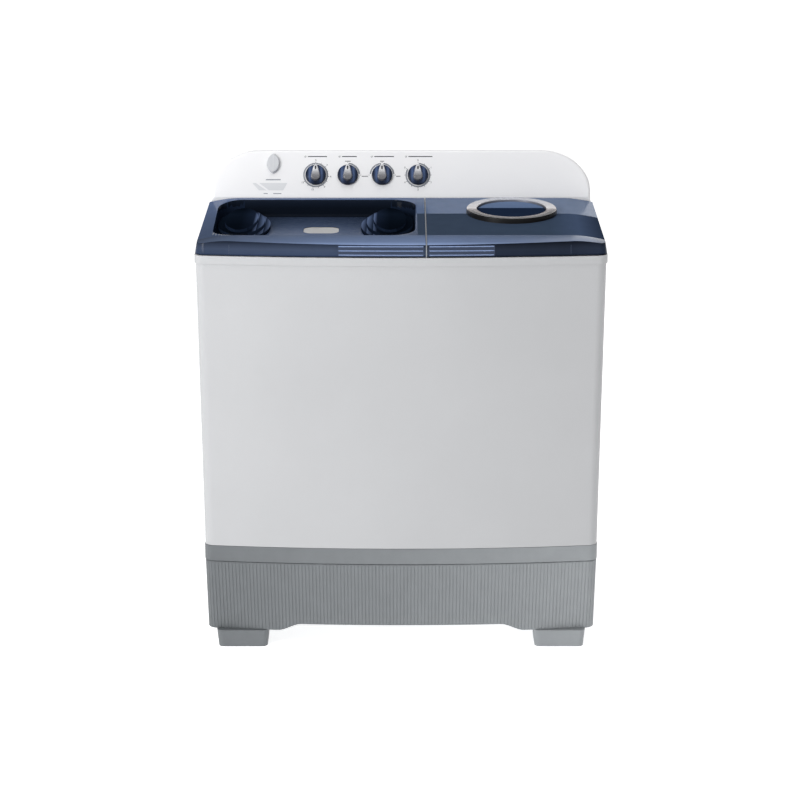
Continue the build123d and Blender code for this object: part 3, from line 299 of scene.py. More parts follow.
PRINT = moulded("print_grey", srgb(142, 147, 156), srgb(128, 133, 142), (0.45, 0.6))
PRINT_DARK = moulded("print_dark", srgb(70, 74, 82), srgb(60, 64, 72), (0.45, 0.6))
# Pale print, also used as a painted highlight along the water selector's spine.
PRINT_PALE_AND_HIGHLIGHT = moulded("print_pale_and_highlight", srgb(222, 223, 226), srgb(214, 216, 219), (0.4, 0.5))
RIB_GREY = moulded("rib_grey", srgb(150, 153, 158), srgb(140, 143, 148), (0.35, 0.45))
# Painted shade: the knob notches are dark plates standing in for the shade in their hollows.
NOTCH_PAINTED_SHADE = moulded("notch_painted_shade", srgb(22, 24, 30), srgb(16, 18, 24), (0.4, 0.5))

for part in frame["record"]["subparts"]:
    if part["material_slot"] in LOOKS:
        mesh = NODES[part["node"]].data
        for index in range(max(1, len(mesh.materials))):
            if index < len(mesh.materials):
                mesh.materials[index] = LOOKS[part["material_slot"]].material
            else:
                mesh.materials.append(LOOKS[part["material_slot"]].material)


# ---------------------------------------------------------------- mesh helpers
def placed(name, mesh, finish, body, smooth=35.0):
    """Object from a mesh, with a finish, riding on a body."""
    piece = bpy.data.objects.new(name, mesh)
    bpy.context.scene.collection.objects.link(piece)
    mesh.materials.append(finish.material)
    mesh.shade_smooth()
    mesh.set_sharp_from_angle(angle=math.radians(smooth))
    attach(piece, body)
    return piece


def mesh_of(points, faces, name):
    mesh = bpy.data.meshes.new(name)
    mesh.from_pydata([tuple(p) for p in points], [], faces)
    mesh.validate()
    mesh.update()
    return mesh


# ---------------------------------------------------------------- recast CAD shells
def recast(node, name, body, finishes, choose, cuts=(), reshape=None):
    """A copy of a CAD shell: flat faces joined, then cut, one finish per face as choose() says."""
    mesh = NODES[node].data.copy()
    mesh.name = name
    mesh.materials.clear()
    for finish in finishes:
        mesh.materials.append(finish.material)
    shell = bmesh.new()
    shell.from_mesh(mesh)
    bmesh.ops.remove_doubles(shell, verts=shell.verts, dist=0.00001)
    bmesh.ops.dissolve_limit(
        shell, angle_limit=math.radians(0.6), verts=shell.verts, edges=shell.edges, delimit={"NORMAL"},
    )
    for place, normal in cuts:
        everything = shell.verts[:] + shell.edges[:] + shell.faces[:]
        bmesh.ops.bisect_plane(shell, geom=everything, plane_co=place, plane_no=normal)
    for face in shell.faces:
        face.material_index = choose(face.calc_center_median(), face.normal)
        face.smooth = True
    if reshape:
        for vertex in shell.verts:
            vertex.co.z = reshape(vertex.co)
    shell.to_mesh(mesh)
    shell.free()
    piece = bpy.data.objects.new(name, mesh)
    bpy.context.scene.collection.objects.link(piece)
    mesh.set_sharp_from_angle(angle=math.radians(32.0))
    flatten = piece.modifiers.new("flatten", "WEIGHTED_NORMAL")
    flatten.keep_sharp = True
    flatten.weight = 90
    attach(piece, body)
    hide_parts(node)
    return piece


# ---------------------------------------------------------------- lids
LIP_CREASE_Y = -0.2045
# Where the painted reflection on the lids' tops ends towards the front.
REFLECTION_EDGE_Y = -0.009
FRONT_EDGE_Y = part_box("wash_lid")[0].y
LID_FOOT_Z = 0.932
TERRACE_CENTRES, TERRACE_Y, TERRACE_REACH = (-0.372, -0.026), -0.028, 0.067
RING_X, RING_Y = 0.259, 0.002
RING_SPAN, RING_RADII, RING_FADE = (-0.105, 0.108), (0.084, 0.1065), (-0.045, 0.0)
DECK_REAR, DECK_SLOPE = (0.13974, 0.99797), math.tan(math.radians(4.6))
LID_END_X = 0.467
SHOULDER_X, SHOULDER_DROP = 0.385, 0.012
TRAY_X, TRAY_Y, TRAY_SIDE_X = (-0.437, 0.038), (-0.2125, 0.127), 0.0375
TRAY_FLOOR_Z, TRAY_WALL_Z, MOUND_TOP_Z = 0.950, 0.949, 0.981
TRAY_MIDDLE_X, MOUND_HALF_X, MOUND_HALF_Y, MOUND_WALL_Y = -0.2, 0.040, 0.130, 0.16
DIVIDER_X, DIVIDER_HALF, DIVIDER_LOW_Z, RIM_TOP_Z = 0.057, 0.006, 0.93, 0.9325


def deck_height(y):
    """Height of a lid's top skin at a depth."""
    if y > LIP_CREASE_Y:
        return DECK_REAR[1] - (DECK_REAR[0] - y) * DECK_SLOPE
    return 0.958 + 0.0123 * max(0.0, 1.0 - ((LIP_CREASE_Y - y) / 0.0675) ** 1.6)


def shouldered(point):
    """A lid's outer end falls away in a soft shoulder; its tray floor and lower edge stay."""
    reach = (abs(point.x) - SHOULDER_X) / (LID_END_X - SHOULDER_X)
    if reach <= 0.0:
        return point.z
    share = (point.z - TRAY_FLOOR_Z) / (deck_height(point.y) - TRAY_FLOOR_Z)
    return point.z - SHOULDER_DROP * min(1.0, reach) ** 1.8 * max(0.0, min(1.0, share))


def tread_height(y):
    """Height that parts the sloping tray floor from the treads of its mounds."""
    return 0.9585 + 0.0175 * (y + 0.043)


# The lids' ramps are painted light and shade, fixed along the lids' own axes: painted reflections, painted
# highlights and painted shade.
# Painted reflection: the lighter rear of each lid's top.
LID_REAR_PAINTED_REFLECTION = graded("lid_rear_painted_reflection", [
    ("X", -LID_END_X, LID_END_X, [
        (0.0, srgb(84, 102, 136)), (0.5, srgb(92, 110, 142)), (1.0, srgb(98, 117, 148)),
    ]),
], (0.12, 0.24), 0.02)
# Painted light: the front of the spin lid's top is painted lighter near its right end and darker at the end
# itself.
LID_FRONT_PAINTED_LIGHT = graded("lid_front", [
    ("X", 0.05, LID_END_X, [
        (0.0, srgb(58, 70, 88)), (0.7, srgb(58, 72, 92)),
        (0.86, srgb(70, 85, 112)), (1.0, srgb(44, 55, 74)),
    ]),
], (0.12, 0.24), 0.0)
# Painted highlight along the front lip band, brightest at the front edge, with painted shade towards both
# ends.
LID_BAND_PAINTED_HIGHLIGHT = graded("lid_band_painted_highlight", [
    ("Y", FRONT_EDGE_Y, LIP_CREASE_Y, [
        (0.0, srgb(146, 166, 206)), (0.16, srgb(132, 152, 192)), (0.3, srgb(110, 128, 162)),
        (0.7, srgb(100, 117, 149)), (1.0, srgb(88, 104, 134)),
    ]),
    ("X", -LID_END_X, LID_END_X, [
        (0.0, grey(0.35)), (0.1, grey(0.55)), (0.3, grey(0.86)), (0.55, grey(1.0)),
        (0.9, grey(0.8)), (0.96, grey(0.9)), (1.0, grey(0.4)),
    ]),
], (0.14, 0.26), 0.06)
# Painted shade: the lids' front face is painted darker at its top and bottom and darker across the spin
# lid.
LID_FACE_PAINTED_SHADE = graded("lid_face_painted_shade", [
    ("Z", LID_FOOT_Z, 0.962, [
        (0.0, srgb(46, 58, 84)), (0.12, srgb(78, 94, 126)), (0.5, srgb(84, 98, 126)),
        (0.8, srgb(66, 78, 102)), (1.0, srgb(44, 54, 74)),
    ]),
    ("X", -LID_END_X, LID_END_X, [
        (0.0, grey(0.4)), (0.1, grey(0.46)), (0.3, grey(0.52)), (0.56, grey(0.42)),
        (0.6, grey(0.22)), (0.9, grey(0.2)), (1.0, grey(0.28)),
    ]),
], (0.12, 0.22), 0.08)
# Painted reflection: the wash lid's deck round the tray is painted lighter towards the rear.
TRAY_RIM_PAINTED_REFLECTION = graded("tray_rim_painted_reflection", [
    ("Y", -0.2, 0.14, [
        (0.0, srgb(60, 74, 100)), (0.5, srgb(70, 86, 116)), (1.0, srgb(88, 106, 142)),
    ]),
], (0.12, 0.24), 0.03)
# Painted shade: the tray's walls are painted near black.
TRAY_WALL = graded("tray_wall_painted_shade", [
    ("Z", 0.953, 1.0, [(0.0, srgb(14, 20, 30)), (0.5, srgb(12, 18, 28)), (1.0, srgb(22, 30, 44))]),
], (0.08, 0.2), 0.02)
# Painted light: the tray floor is painted lighter towards the front and darker towards the rear and both
# ends.
TRAY_BED_PAINTED_LIGHT = graded("tray_bed_painted_light", [
    ("Y", -0.21, 0.12, [
        (0.0, srgb(96, 112, 146)), (0.15, srgb(92, 108, 140)), (0.45, srgb(80, 95, 124)),
        (0.75, srgb(62, 75, 99)), (1.0, srgb(46, 58, 80)),
    ]),
    ("X", -0.44, 0.04, [
        (0.0, grey(0.25)), (0.28, grey(0.8)), (0.5, grey(1.0)), (0.72, grey(0.8)), (1.0, grey(0.25)),
    ]),
], (0.16, 0.3), 0.02)
# Painted shade: the terrace risers are painted dark.
RISER_PAINTED_SHADE = graded("terrace_riser_painted_shade", [
    ("Z", 0.953, 0.985, [(0.0, srgb(16, 24, 38)), (1.0, srgb(26, 36, 54))]),
], (0.2, 0.3), 0.0)


def ring_top():
    """Ring face: silver at the rear, and at the front silver inside and black outside; these bright, grey
    and black bands are painted reflections and painted shade.
    """
    finish = graded("chrome_top_painted_reflection", [
        ("Y", *RING_SPAN, [
            (0.0, srgb(176, 170, 170)), (0.3, srgb(150, 142, 140)), (0.4, srgb(140, 130, 128)),
            (0.5, srgb(226, 222, 222)), (0.62, srgb(212, 210, 212)), (1.0, srgb(186, 190, 202)),
        ]),
    ], (0.14, 0.24), 0.3, 0.4)
    lengthwise = finish.shader.inputs["Base Color"].links[0].from_socket
    outward = finish.ramp(finish.radial((RING_X, RING_Y), *RING_RADII), [
        (0.0, srgb(150, 146, 146)), (0.28, srgb(236, 232, 232)), (0.42, srgb(120, 110, 108)),
        (0.5, srgb(44, 38, 38)), (1.0, srgb(16, 15, 17)),
    ])
    front_only = finish.faded(finish.axis("Y", *RING_FADE), outward, grey(1.0))
    finish.colour(finish.times(lengthwise, front_only))
    return finish


CHROME_TOP_PAINTED_REFLECTION = ring_top()
# Painted shade: the ring's side is painted black at the front and lighter towards the rear.
CHROME_SIDE_PAINTED_SHADE = graded("chrome_side_painted_shade", [
    ("Y", *RING_SPAN, [
        (0.0, srgb(14, 14, 17)), (0.42, srgb(16, 16, 19)),
        (0.52, srgb(90, 90, 96)), (1.0, srgb(130, 134, 146)),
    ]),
], (0.3, 0.4), 0.3, 0.2)
# Painted reflection: the pane is painted dark at the front and light towards the rear.
WINDOW_PAINTED_REFLECTION = graded("window_face_painted_reflection", [
    ("Y", -0.076, 0.081, [
        (0.0, srgb(58, 70, 92)), (0.1, srgb(28, 40, 62)), (0.585, srgb(28, 40, 62)),
        (0.615, srgb(98, 117, 150)), (1.0, srgb(108, 128, 162)),
    ]),
], (0.08, 0.16), 0.0)
# The lid finishes in this tuple all carry painted light and shade.
LID_PAINTED_FINISHES = (LID_REAR_PAINTED_REFLECTION, LID_FRONT_PAINTED_LIGHT, LID_BAND_PAINTED_HIGHLIGHT, LID_FACE_PAINTED_SHADE, TRAY_WALL, TRAY_BED_PAINTED_LIGHT, TRAY_RIM_PAINTED_REFLECTION, RISER_PAINTED_SHADE)
REAR, FRONT, BAND, FACE, WALL_DARK, BED, RIM, STEP = range(8)
# Painted light: each terrace tread's bands are painted highlights on its edges with painted shade between
# them, darker towards the front.
TREAD_PAINTED_LIGHT = [
    graded("terrace_tread_painted_light_" + side, [
        ("X", *span, [
            (0.0, srgb(14, 22, 34)), (0.44, srgb(26, 36, 54)), (0.56, srgb(104, 122, 160)),
            (0.575, srgb(30, 42, 62)), (0.79, srgb(100, 118, 154)), (0.81, srgb(36, 48, 70)),
            (0.98, srgb(98, 114, 148)), (1.0, srgb(84, 100, 130)),
        ]),
        ("Y", -0.2, 0.1, [(0.0, grey(0.3)), (0.35, grey(0.55)), (0.75, grey(1.0)), (1.0, grey(0.5))]),
    ], (0.14, 0.26), 0.0)
    for side, span in (("left", (-0.372, -0.305)), ("right", (-0.026, -0.093)))
]


def lid_zone(centre, normal):
    """Which finish a face of a lid's outside has."""
    if centre.y < LIP_CREASE_Y and normal.z > 0.3 and abs(normal.x) < 0.6:
        return BAND
    if normal.z > 0.8:
        return REAR if centre.y > REFLECTION_EDGE_Y else FRONT
    return FACE


def wash_zone(centre, normal):
    """As lid_zone, with the tray and its end mounds."""
    in_tray = TRAY_X[0] < centre.x < TRAY_X[1] and TRAY_Y[0] < centre.y < TRAY_Y[1]
    aside = min(abs(centre.x - x) for x in TERRACE_CENTRES)
    on_mound = (aside / MOUND_HALF_X) ** 2 + ((centre.y - TERRACE_Y) / MOUND_HALF_Y) ** 2 < 1.0
    sunk = TRAY_FLOOR_Z < centre.z < deck_height(centre.y) - 0.003
    if in_tray and normal.z > 0.8 and (on_mound or sunk):
        if centre.z > tread_height(centre.y):
            return len(LID_PAINTED_FINISHES) + (centre.x > TRAY_MIDDLE_X)
        return BED
    if in_tray and abs(normal.z) < 0.5 and centre.z > TRAY_WALL_Z:
        beside = aside < TERRACE_REACH and centre.z < MOUND_TOP_Z and abs(centre.y) < MOUND_WALL_Y
        return STEP if beside else WALL_DARK
    zone = lid_zone(centre, normal)
    return RIM if zone in (REAR, FRONT) and centre.x <= TRAY_SIDE_X - 0.0005 else zone


def lids():
    """Both lids, the ring and window, and the frame round them, in their finishes; the lids', ring's and
    pane's finishes carry painted light and shade.
    """
    across, along = (1.0, 0.0, 0.0), (0.0, 1.0, 0.0)
    cuts = [((0.0, REFLECTION_EDGE_Y, 0.0), along), ((0.0, LIP_CREASE_Y, 0.0), along)]
    ends = [SHOULDER_X + 0.0075 * step for step in range(11)]
    left = cuts + [((TRAY_SIDE_X, 0.0, 0.0), across)] + [((-x, 0.0, 0.0), across) for x in ends]
    right = cuts + [((x, 0.0, 0.0), across) for x in ends]
    recast(
        "wash_lid", "wash_lid_moulding", "wash_lid",
        LID_PAINTED_FINISHES + tuple(TREAD_PAINTED_LIGHT), wash_zone, left, shouldered,
    )
    recast(
        "spin_lid", "spin_lid_moulding", "spin_lid",
        LID_PAINTED_FINISHES, lid_zone, right, shouldered,
    )
    recast(
        "spin_lid_ring", "spin_lid_chrome", "spin_lid",
        (CHROME_TOP_PAINTED_REFLECTION, CHROME_SIDE_PAINTED_SHADE), lambda centre, normal: 0 if normal.z > 0.45 else 1,
    )
    recast(
        "spin_lid_window", "spin_lid_pane", "spin_lid",
        (WINDOW_PAINTED_REFLECTION,), lambda centre, normal: 0,
    )
    recast(
        "top_frame", "top_frame_moulding", "cabinet",
        (LOOKS["white_plastic"], RIB_GREY, LOOKS["cabinet_grey"]), frame_zone,
    )


def frame_zone(centre, normal):
    """The divider rib's top and front are grey, the outer rim is the cabinet's grey, the rest white."""
    on_divider = abs(centre.x - DIVIDER_X) < DIVIDER_HALF and centre.z > DIVIDER_LOW_Z
    if on_divider and (normal.z > 0.3 or normal.y < -0.5):
        return 1
    return 2 if centre.z < RIM_TOP_Z and normal.z < 0.9 else 0


# ---------------------------------------------------------------- lid front details
GRIP_SPANS = {"wash_lid": (-0.142, 0.0515), "spin_lid": (0.0625, 0.211)}
GRIP_RIB_Z, GRIP_RIB_HALF, GRIP_RIB_PROUD = (0.9555, 0.9460, 0.9365), 0.0014, 0.0022
PAD_LOW_Z, PAD_HIGH_Z, PAD_PROUD = 0.9338, 0.9572, 0.0004
JOINT_X, JOINT_HALF, JOINT_PROUD = {"wash_lid": -0.388, "spin_lid": 0.383}, 0.0005, 0.0002
SWEEP_STEPS = 24
FRONTS = {
    name: BVHTree.FromPolygons(
        [vertex.co for vertex in NODES[name].data.vertices],
        [face.vertices for face in NODES[name].data.polygons],
    )
    for name in GRIP_SPANS
}


def on_lid_front(x, z, lift):
    """A point on a lid's front face, lifted outward."""
    lid = FRONTS["wash_lid" if x < DIVIDER_X else "spin_lid"]
    hit = lid.ray_cast(Vector((x, -0.5, min(z, PAD_HIGH_Z))), Vector((0.0, 1.0, 0.0)))[0]
    return (x, hit.y - lift, z)


def front_sweep(sections, name):
    """Closed bar along a lid's curved front from (x, [(height, lift), ...]) sections."""
    count = len(sections[0][1])
    points = [on_lid_front(x, z, lift) for x, profile in sections for z, lift in profile]
    last = count * (len(sections) - 1)
    faces = [tuple(range(count)), tuple(range(last + count - 1, last - 1, -1))]
    for start in range(0, last, count):
        for step in range(count):
            beside = (step + 1) % count
            faces.append((start + step, start + beside, start + count + beside, start + count + step))
    mesh = mesh_of(points, faces, name)
    shell = bmesh.new()
    shell.from_mesh(mesh)
    bmesh.ops.recalc_face_normals(shell, faces=shell.faces)
    shell.to_mesh(mesh)
    shell.free()
    return mesh


def strip_bar(x_low, x_high, z, half, proud):
    """Long half-round rib with rounded ends on a lid's front face."""
    inner = [x_low + (x_high - x_low) * step / SWEEP_STEPS for step in range(1, SWEEP_STEPS)]
    spans = [(x_low, 0.3), (x_low + 0.0008, 0.8), (x_low + 0.002, 1.0)] + [(x, 1.0) for x in inner]
    spans += [(x_high - 0.002, 1.0), (x_high - 0.0008, 0.8), (x_high, 0.3)]
    angles = [math.pi * step / 9 for step in range(10)]
    sections = []
    for x, share in spans:
        up, out = half * share, proud * share
        sections.append((x, [(z + up * math.cos(turn), out * math.sin(turn) - 0.0004) for turn in angles]))
    return front_sweep(sections, "strip")


def front_pad(x_low, x_high, z_low, z_high, proud, name):
    """Thin pad that follows a lid's curved front."""
    profile = [(z_low, -0.0003), (z_low, proud), (z_high, proud), (z_high, -0.0003)]
    places = [x_low + (x_high - x_low) * step / SWEEP_STEPS for step in range(SWEEP_STEPS + 1)]
    return front_sweep([(x, profile) for x in places], name)


STRIP_BLUE = moulded("strip_blue", srgb(124, 144, 184), srgb(112, 132, 172), (0.2, 0.3))
STRIP_GAP = moulded("strip_gap", srgb(46, 58, 82), srgb(38, 49, 71), (0.3, 0.4))


def lid_fronts():
    """Grip ribs along the lids' front faces on a dark pad, and thin upright joints."""
    for name, (low, high) in GRIP_SPANS.items():
        bars = [strip_bar(low + 0.001, high - 0.001, z, GRIP_RIB_HALF, GRIP_RIB_PROUD) for z in GRIP_RIB_Z]
        placed(name + "_grip_ribs", join_meshes(bars, name + "_grip_ribs"), STRIP_BLUE, name)
        pad = front_pad(low, high, PAD_LOW_Z, PAD_HIGH_Z, PAD_PROUD, name + "_grip_pad")
        placed(name + "_grip_pad", pad, STRIP_GAP, name)
    for name, x in JOINT_X.items():
        seam = front_pad(x - JOINT_HALF, x + JOINT_HALF, 0.934, 0.956, JOINT_PROUD, name + "_joint")
        placed(name + "_joint", seam, STRIP_GAP, name)


# ---------------------------------------------------------------- base with a ribbed skirt
def bowed_path(half, front, back, corner=0.024, rear=0.008, bow=0.0315):
    """Points along the right half of a plan outline with a swelling front, from front to back."""
    radius = (half * half + bow * bow) / (2 * bow)
    start = half - corner
    for _ in range(8):
        start = half - corner * (1 - start / radius)
    turn = math.asin(start / radius)
    points = []
    for step in range(61):
        x = start * step / 60
        points.append((x, front + radius - math.sqrt(radius * radius - x * x)))
    centre = (half - corner, points[-1][1] + corner * math.cos(turn))
    for step in range(1, 13):
        angle = turn + (math.pi / 2 - turn) * step / 12
        points.append((centre[0] + corner * math.sin(angle), centre[1] - corner * math.cos(angle)))
    points.append((half, back - rear))
    for step in range(1, 7):
        angle = math.pi / 2 * step / 6
        points.append((half - rear + rear * math.cos(angle), back - rear + rear * math.sin(angle)))
    points.append((0.0, back))
    return points


def closed_path(half_path):
    mirrored = [(-x, y) for x, y in half_path[-2:0:-1]]
    return half_path + mirrored


def along_path(path, shares):
    """Points and outward normals at shares of a closed path's length."""
    ends = path + [path[0]]
    lengths = [0.0]
    for first, second in zip(ends, ends[1:]):
        lengths.append(lengths[-1] + math.dist(first, second))
    found, index = [], 0
    for share in shares:
        wanted = share * lengths[-1]
        while index < len(ends) - 2 and lengths[index + 1] < wanted:
            index += 1
        span = lengths[index + 1] - lengths[index]
        part = (wanted - lengths[index]) / span
        (ax, ay), (bx, by) = ends[index], ends[index + 1]
        normal = ((by - ay) / span, -(bx - ax) / span)
        found.append(((ax + (bx - ax) * part, ay + (by - ay) * part), normal))
    return found


def smooth_step(value):
    value = max(0.0, min(1.0, value))
    return value * value * (3 - 2 * value)


ARCH_HALF, ARCH_FOOT, ARCH_RISE, ARCH_FADE = 0.233, 0.288, 0.016, 0.03
RIB_COUNT, RIB_DEPTH = 340, 0.0009
SKIRT_TOP_Z, FRONT_SWELL, FLOOR_PLATE_Z = 0.206, 0.0105, 0.060


def base_skirt():
    """Moulded base: ribbed skirt with a low arch, a groove, a plain band and a floor plate."""
    low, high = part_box("base")
    shares, dips = [], []
    for rib in range(RIB_COUNT):
        for offset, dip in ((0.0, 0.0), (0.74, 0.0), (0.80, 1.0), (0.94, 1.0)):
            shares.append((rib + offset) / RIB_COUNT)
            dips.append(dip)
    band_half = high.x
    skirt_top, foot, band_top = SKIRT_TOP_Z, low.z, high.z
    front, back = low.y - FRONT_SWELL, high.y
    band_front = front + FRONT_SWELL

    def row(level, half, y_front, y_back, inset, ribbed):
        path = closed_path(bowed_path(half, y_front, y_back))
        ring = []
        for (place, normal), dip in zip(along_path(path, shares), dips):
            depth = inset + (RIB_DEPTH * dip if ribbed else 0.0)
            arch = ARCH_RISE * smooth_step((ARCH_FOOT - abs(place[0])) / (ARCH_FOOT - ARCH_HALF))
            facing = abs(normal[1]) > 0.9
            height = level + (arch * max(0.0, 1.0 - (level - foot) / ARCH_FADE) if facing else 0.0)
            ring.append((place[0] - normal[0] * depth, place[1] - normal[1] * depth, height))
        return ring

    def skirt(level, inset, ribbed):
        share = (level - foot) / (skirt_top - foot)
        half = (band_half - 0.0055) + share * 0.0045
        return row(level, half, front + 0.016 - 0.004 * share, back - 0.004 * (1 - share), inset, ribbed)

    rows = [
        skirt(foot, 0.0022, False), skirt(foot, 0.0006, False), skirt(foot + 0.0012, 0.0, False),
        skirt(foot + 0.0035, 0.0, True), skirt(foot + 0.03, 0.0, True), skirt(foot + 0.09, 0.0, True),
        skirt(skirt_top - 0.003, 0.0, True), skirt(skirt_top - 0.0012, 0.0, False),
        skirt(skirt_top, 0.0008, False),
        row(skirt_top, band_half - 0.0025, front + 0.0135, back - 0.0015, 0.0012, False),
        row(skirt_top + 0.002, band_half - 0.0025, front + 0.0135, back - 0.0015, 0.0012, False),
        row(skirt_top + 0.002, band_half, band_front, back, 0.0008, False),
        row(skirt_top + 0.003, band_half, band_front, back, 0.0, False),
        row(band_top - 0.001, band_half, band_front, back, 0.0, False),
        row(band_top, band_half, band_front, back, 0.001, False),
        row(band_top, band_half, band_front, back, 0.0045, False),
        row(skirt_top, band_half, band_front, back, 0.0052, False),
        skirt(skirt_top - 0.004, 0.0042, False), skirt(foot, 0.0036, False),
    ]
    count = len(shares)
    points = [point for ring in rows for point in ring]
    faces = []
    for index in range(len(rows)):
        following = (index + 1) % len(rows)
        for column in range(count):
            beside = (column + 1) % count
            faces.append((
                index * count + column, index * count + beside,
                following * count + beside, following * count + column,
            ))
    skirt_mesh = mesh_of(points, faces, "base_skirt")
    skirt_piece = placed("base_skirt", skirt_mesh, LOOKS["base_grey"], "cabinet")
    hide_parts("base")
    plate_path = closed_path(bowed_path(band_half - 0.0095, front + 0.020, back - 0.008))
    plate = prism(plate_path, lambda x, y, lift: (x, y, FLOOR_PLATE_Z + lift), 0.0, 0.003, "base_floor")
    placed("base_floor_plate", plate, LOOKS["base_grey"], "cabinet")


# ---------------------------------------------------------------- thin printed and raised shapes
def prism(outline, place, low, high, name):
    """Closed slab over an outline; place(x, y, lift) puts its points in the frame."""
    count = len(outline)
    points = [place(x, y, high) for x, y in outline] + [place(x, y, low) for x, y in outline]
    faces = [tuple(range(count)), tuple(range(2 * count - 1, count - 1, -1))]
    for index in range(count):
        beside = (index + 1) % count
        faces.append((index, index + count, beside + count, beside))
    mesh = mesh_of(points, faces, name)
    shell = bmesh.new()
    shell.from_mesh(mesh)
    bmesh.ops.recalc_face_normals(shell, faces=shell.faces)
    shell.to_mesh(mesh)
    shell.free()
    return mesh


def join_meshes(meshes, name):
    joined = bmesh.new()
    for mesh in meshes:
        joined.from_mesh(mesh)
    result = bpy.data.meshes.new(name)
    joined.to_mesh(result)
    joined.free()
    for mesh in meshes:
        bpy.data.meshes.remove(mesh)
    return result


def rounded_bar(x, y, length, height):
    """Outline of a bar with round ends."""
    radius, reach = height / 2, length / 2 - height / 2
    outline = []
    for side, start in ((1, -90), (-1, 90)):
        for step in range(9):
            angle = math.radians(start + 180 * step / 8)
            outline.append((x + side * reach + radius * math.cos(angle), y + radius * math.sin(angle)))
    return outline


LEAN = math.radians(22.0)
FACE_UP = Vector((0.0, math.sin(LEAN), math.cos(LEAN)))
FACE_OUT = Vector((0.0, -math.cos(LEAN), math.sin(LEAN)))
KNOB_NAMES = ("wash_timer", "wash_mode", "drain_selector", "spin_timer")
KNOB_AT = {name: Vector(JOINTS[name + "_turn"]["pos_m"]) for name in KNOB_NAMES}
PRINT_LIFT, PRINT_THICK = 0.00002, 0.00022
SCALE_RADII, SCALE_EDGE_RADII, TICK_RADII = (0.0268, 0.0292), (0.0294, 0.0299), (0.0300, 0.0325)
TICK_HALF, NUMBER_RADIUS, NUMBER_SIZE, CAPTION_UP = 0.0005, 0.0363, 0.0062, 0.0455


def on_console(anchor):
    """Place a point by its offset across and up the console's face from an anchor on it."""
    def place(x, up, lift):
        return anchor + Vector((x, 0.0, 0.0)) + FACE_UP * up + FACE_OUT * lift
    return place


def arc_band(radius_in, radius_out, start, stop, steps=72):
    """Outline of part of a ring, angles clockwise from the top in degrees."""
    outline = []
    angles = [start + (stop - start) * step / steps for step in range(steps + 1)]
    for radius, order in ((radius_out, angles), (radius_in, angles[::-1])):
        for angle in order:
            turn = math.radians(angle)
            outline.append((radius * math.sin(turn), radius * math.cos(turn)))
    return outline


def printed(name, groups, anchor, finish):
    place = on_console(anchor)
    meshes = [prism(outline, place, PRINT_LIFT, PRINT_LIFT + PRINT_THICK, name) for outline in groups]
    return placed(name, join_meshes(meshes, name), finish, "cabinet")


def ring_marks(name, spans, ticks):
    """Grey scale round a knob: ring pieces with dark edges, and ticks."""
    anchor = KNOB_AT[name]
    bands = [arc_band(*SCALE_RADII, start, stop) for start, stop in spans]
    printed(name + "_scale", bands, anchor, PRINT)
    lines = [arc_band(*SCALE_EDGE_RADII, start, stop) for start, stop in spans]
    for tick in ticks:
        turn = math.radians(tick)
        across = Vector((math.sin(turn), math.cos(turn)))
        side = Vector((across.y, -across.x)) * TICK_HALF
        inner, outer = (across * radius for radius in TICK_RADII)
        lines.append([tuple(corner) for corner in (inner + side, outer + side, outer - side, inner - side)])
    printed(name + "_ticks", lines, anchor, PRINT_DARK)


def dial_number(text, anchor, angle, radius):
    """A numeral beside a scale tick, upright on the console."""
    curve = bpy.data.curves.new("numeral", "FONT")
    curve.body = text
    curve.size = NUMBER_SIZE
    curve.extrude = 0.0001
    curve.align_x, curve.align_y = "CENTER", "CENTER"
    turn = math.radians(angle)
    temporary = bpy.data.objects.new("numeral", curve)
    bpy.context.scene.collection.objects.link(temporary)
    bpy.context.view_layer.update()
    solved = temporary.evaluated_get(bpy.context.evaluated_depsgraph_get())
    mesh = bpy.data.meshes.new_from_object(solved)
    bpy.data.objects.remove(temporary)
    spot = anchor + Vector((radius * math.sin(turn), 0, 0)) + FACE_UP * (radius * math.cos(turn))
    spot = spot + FACE_OUT * (PRINT_LIFT + 0.00012)
    across = Vector((1, 0, 0))
    turned = Matrix((
        (across.x, FACE_UP.x, FACE_OUT.x, spot.x),
        (across.y, FACE_UP.y, FACE_OUT.y, spot.y),
        (across.z, FACE_UP.z, FACE_OUT.z, spot.z),
        (0, 0, 0, 1),
    ))
    mesh.transform(turned)
    mesh.materials.clear()
    return mesh


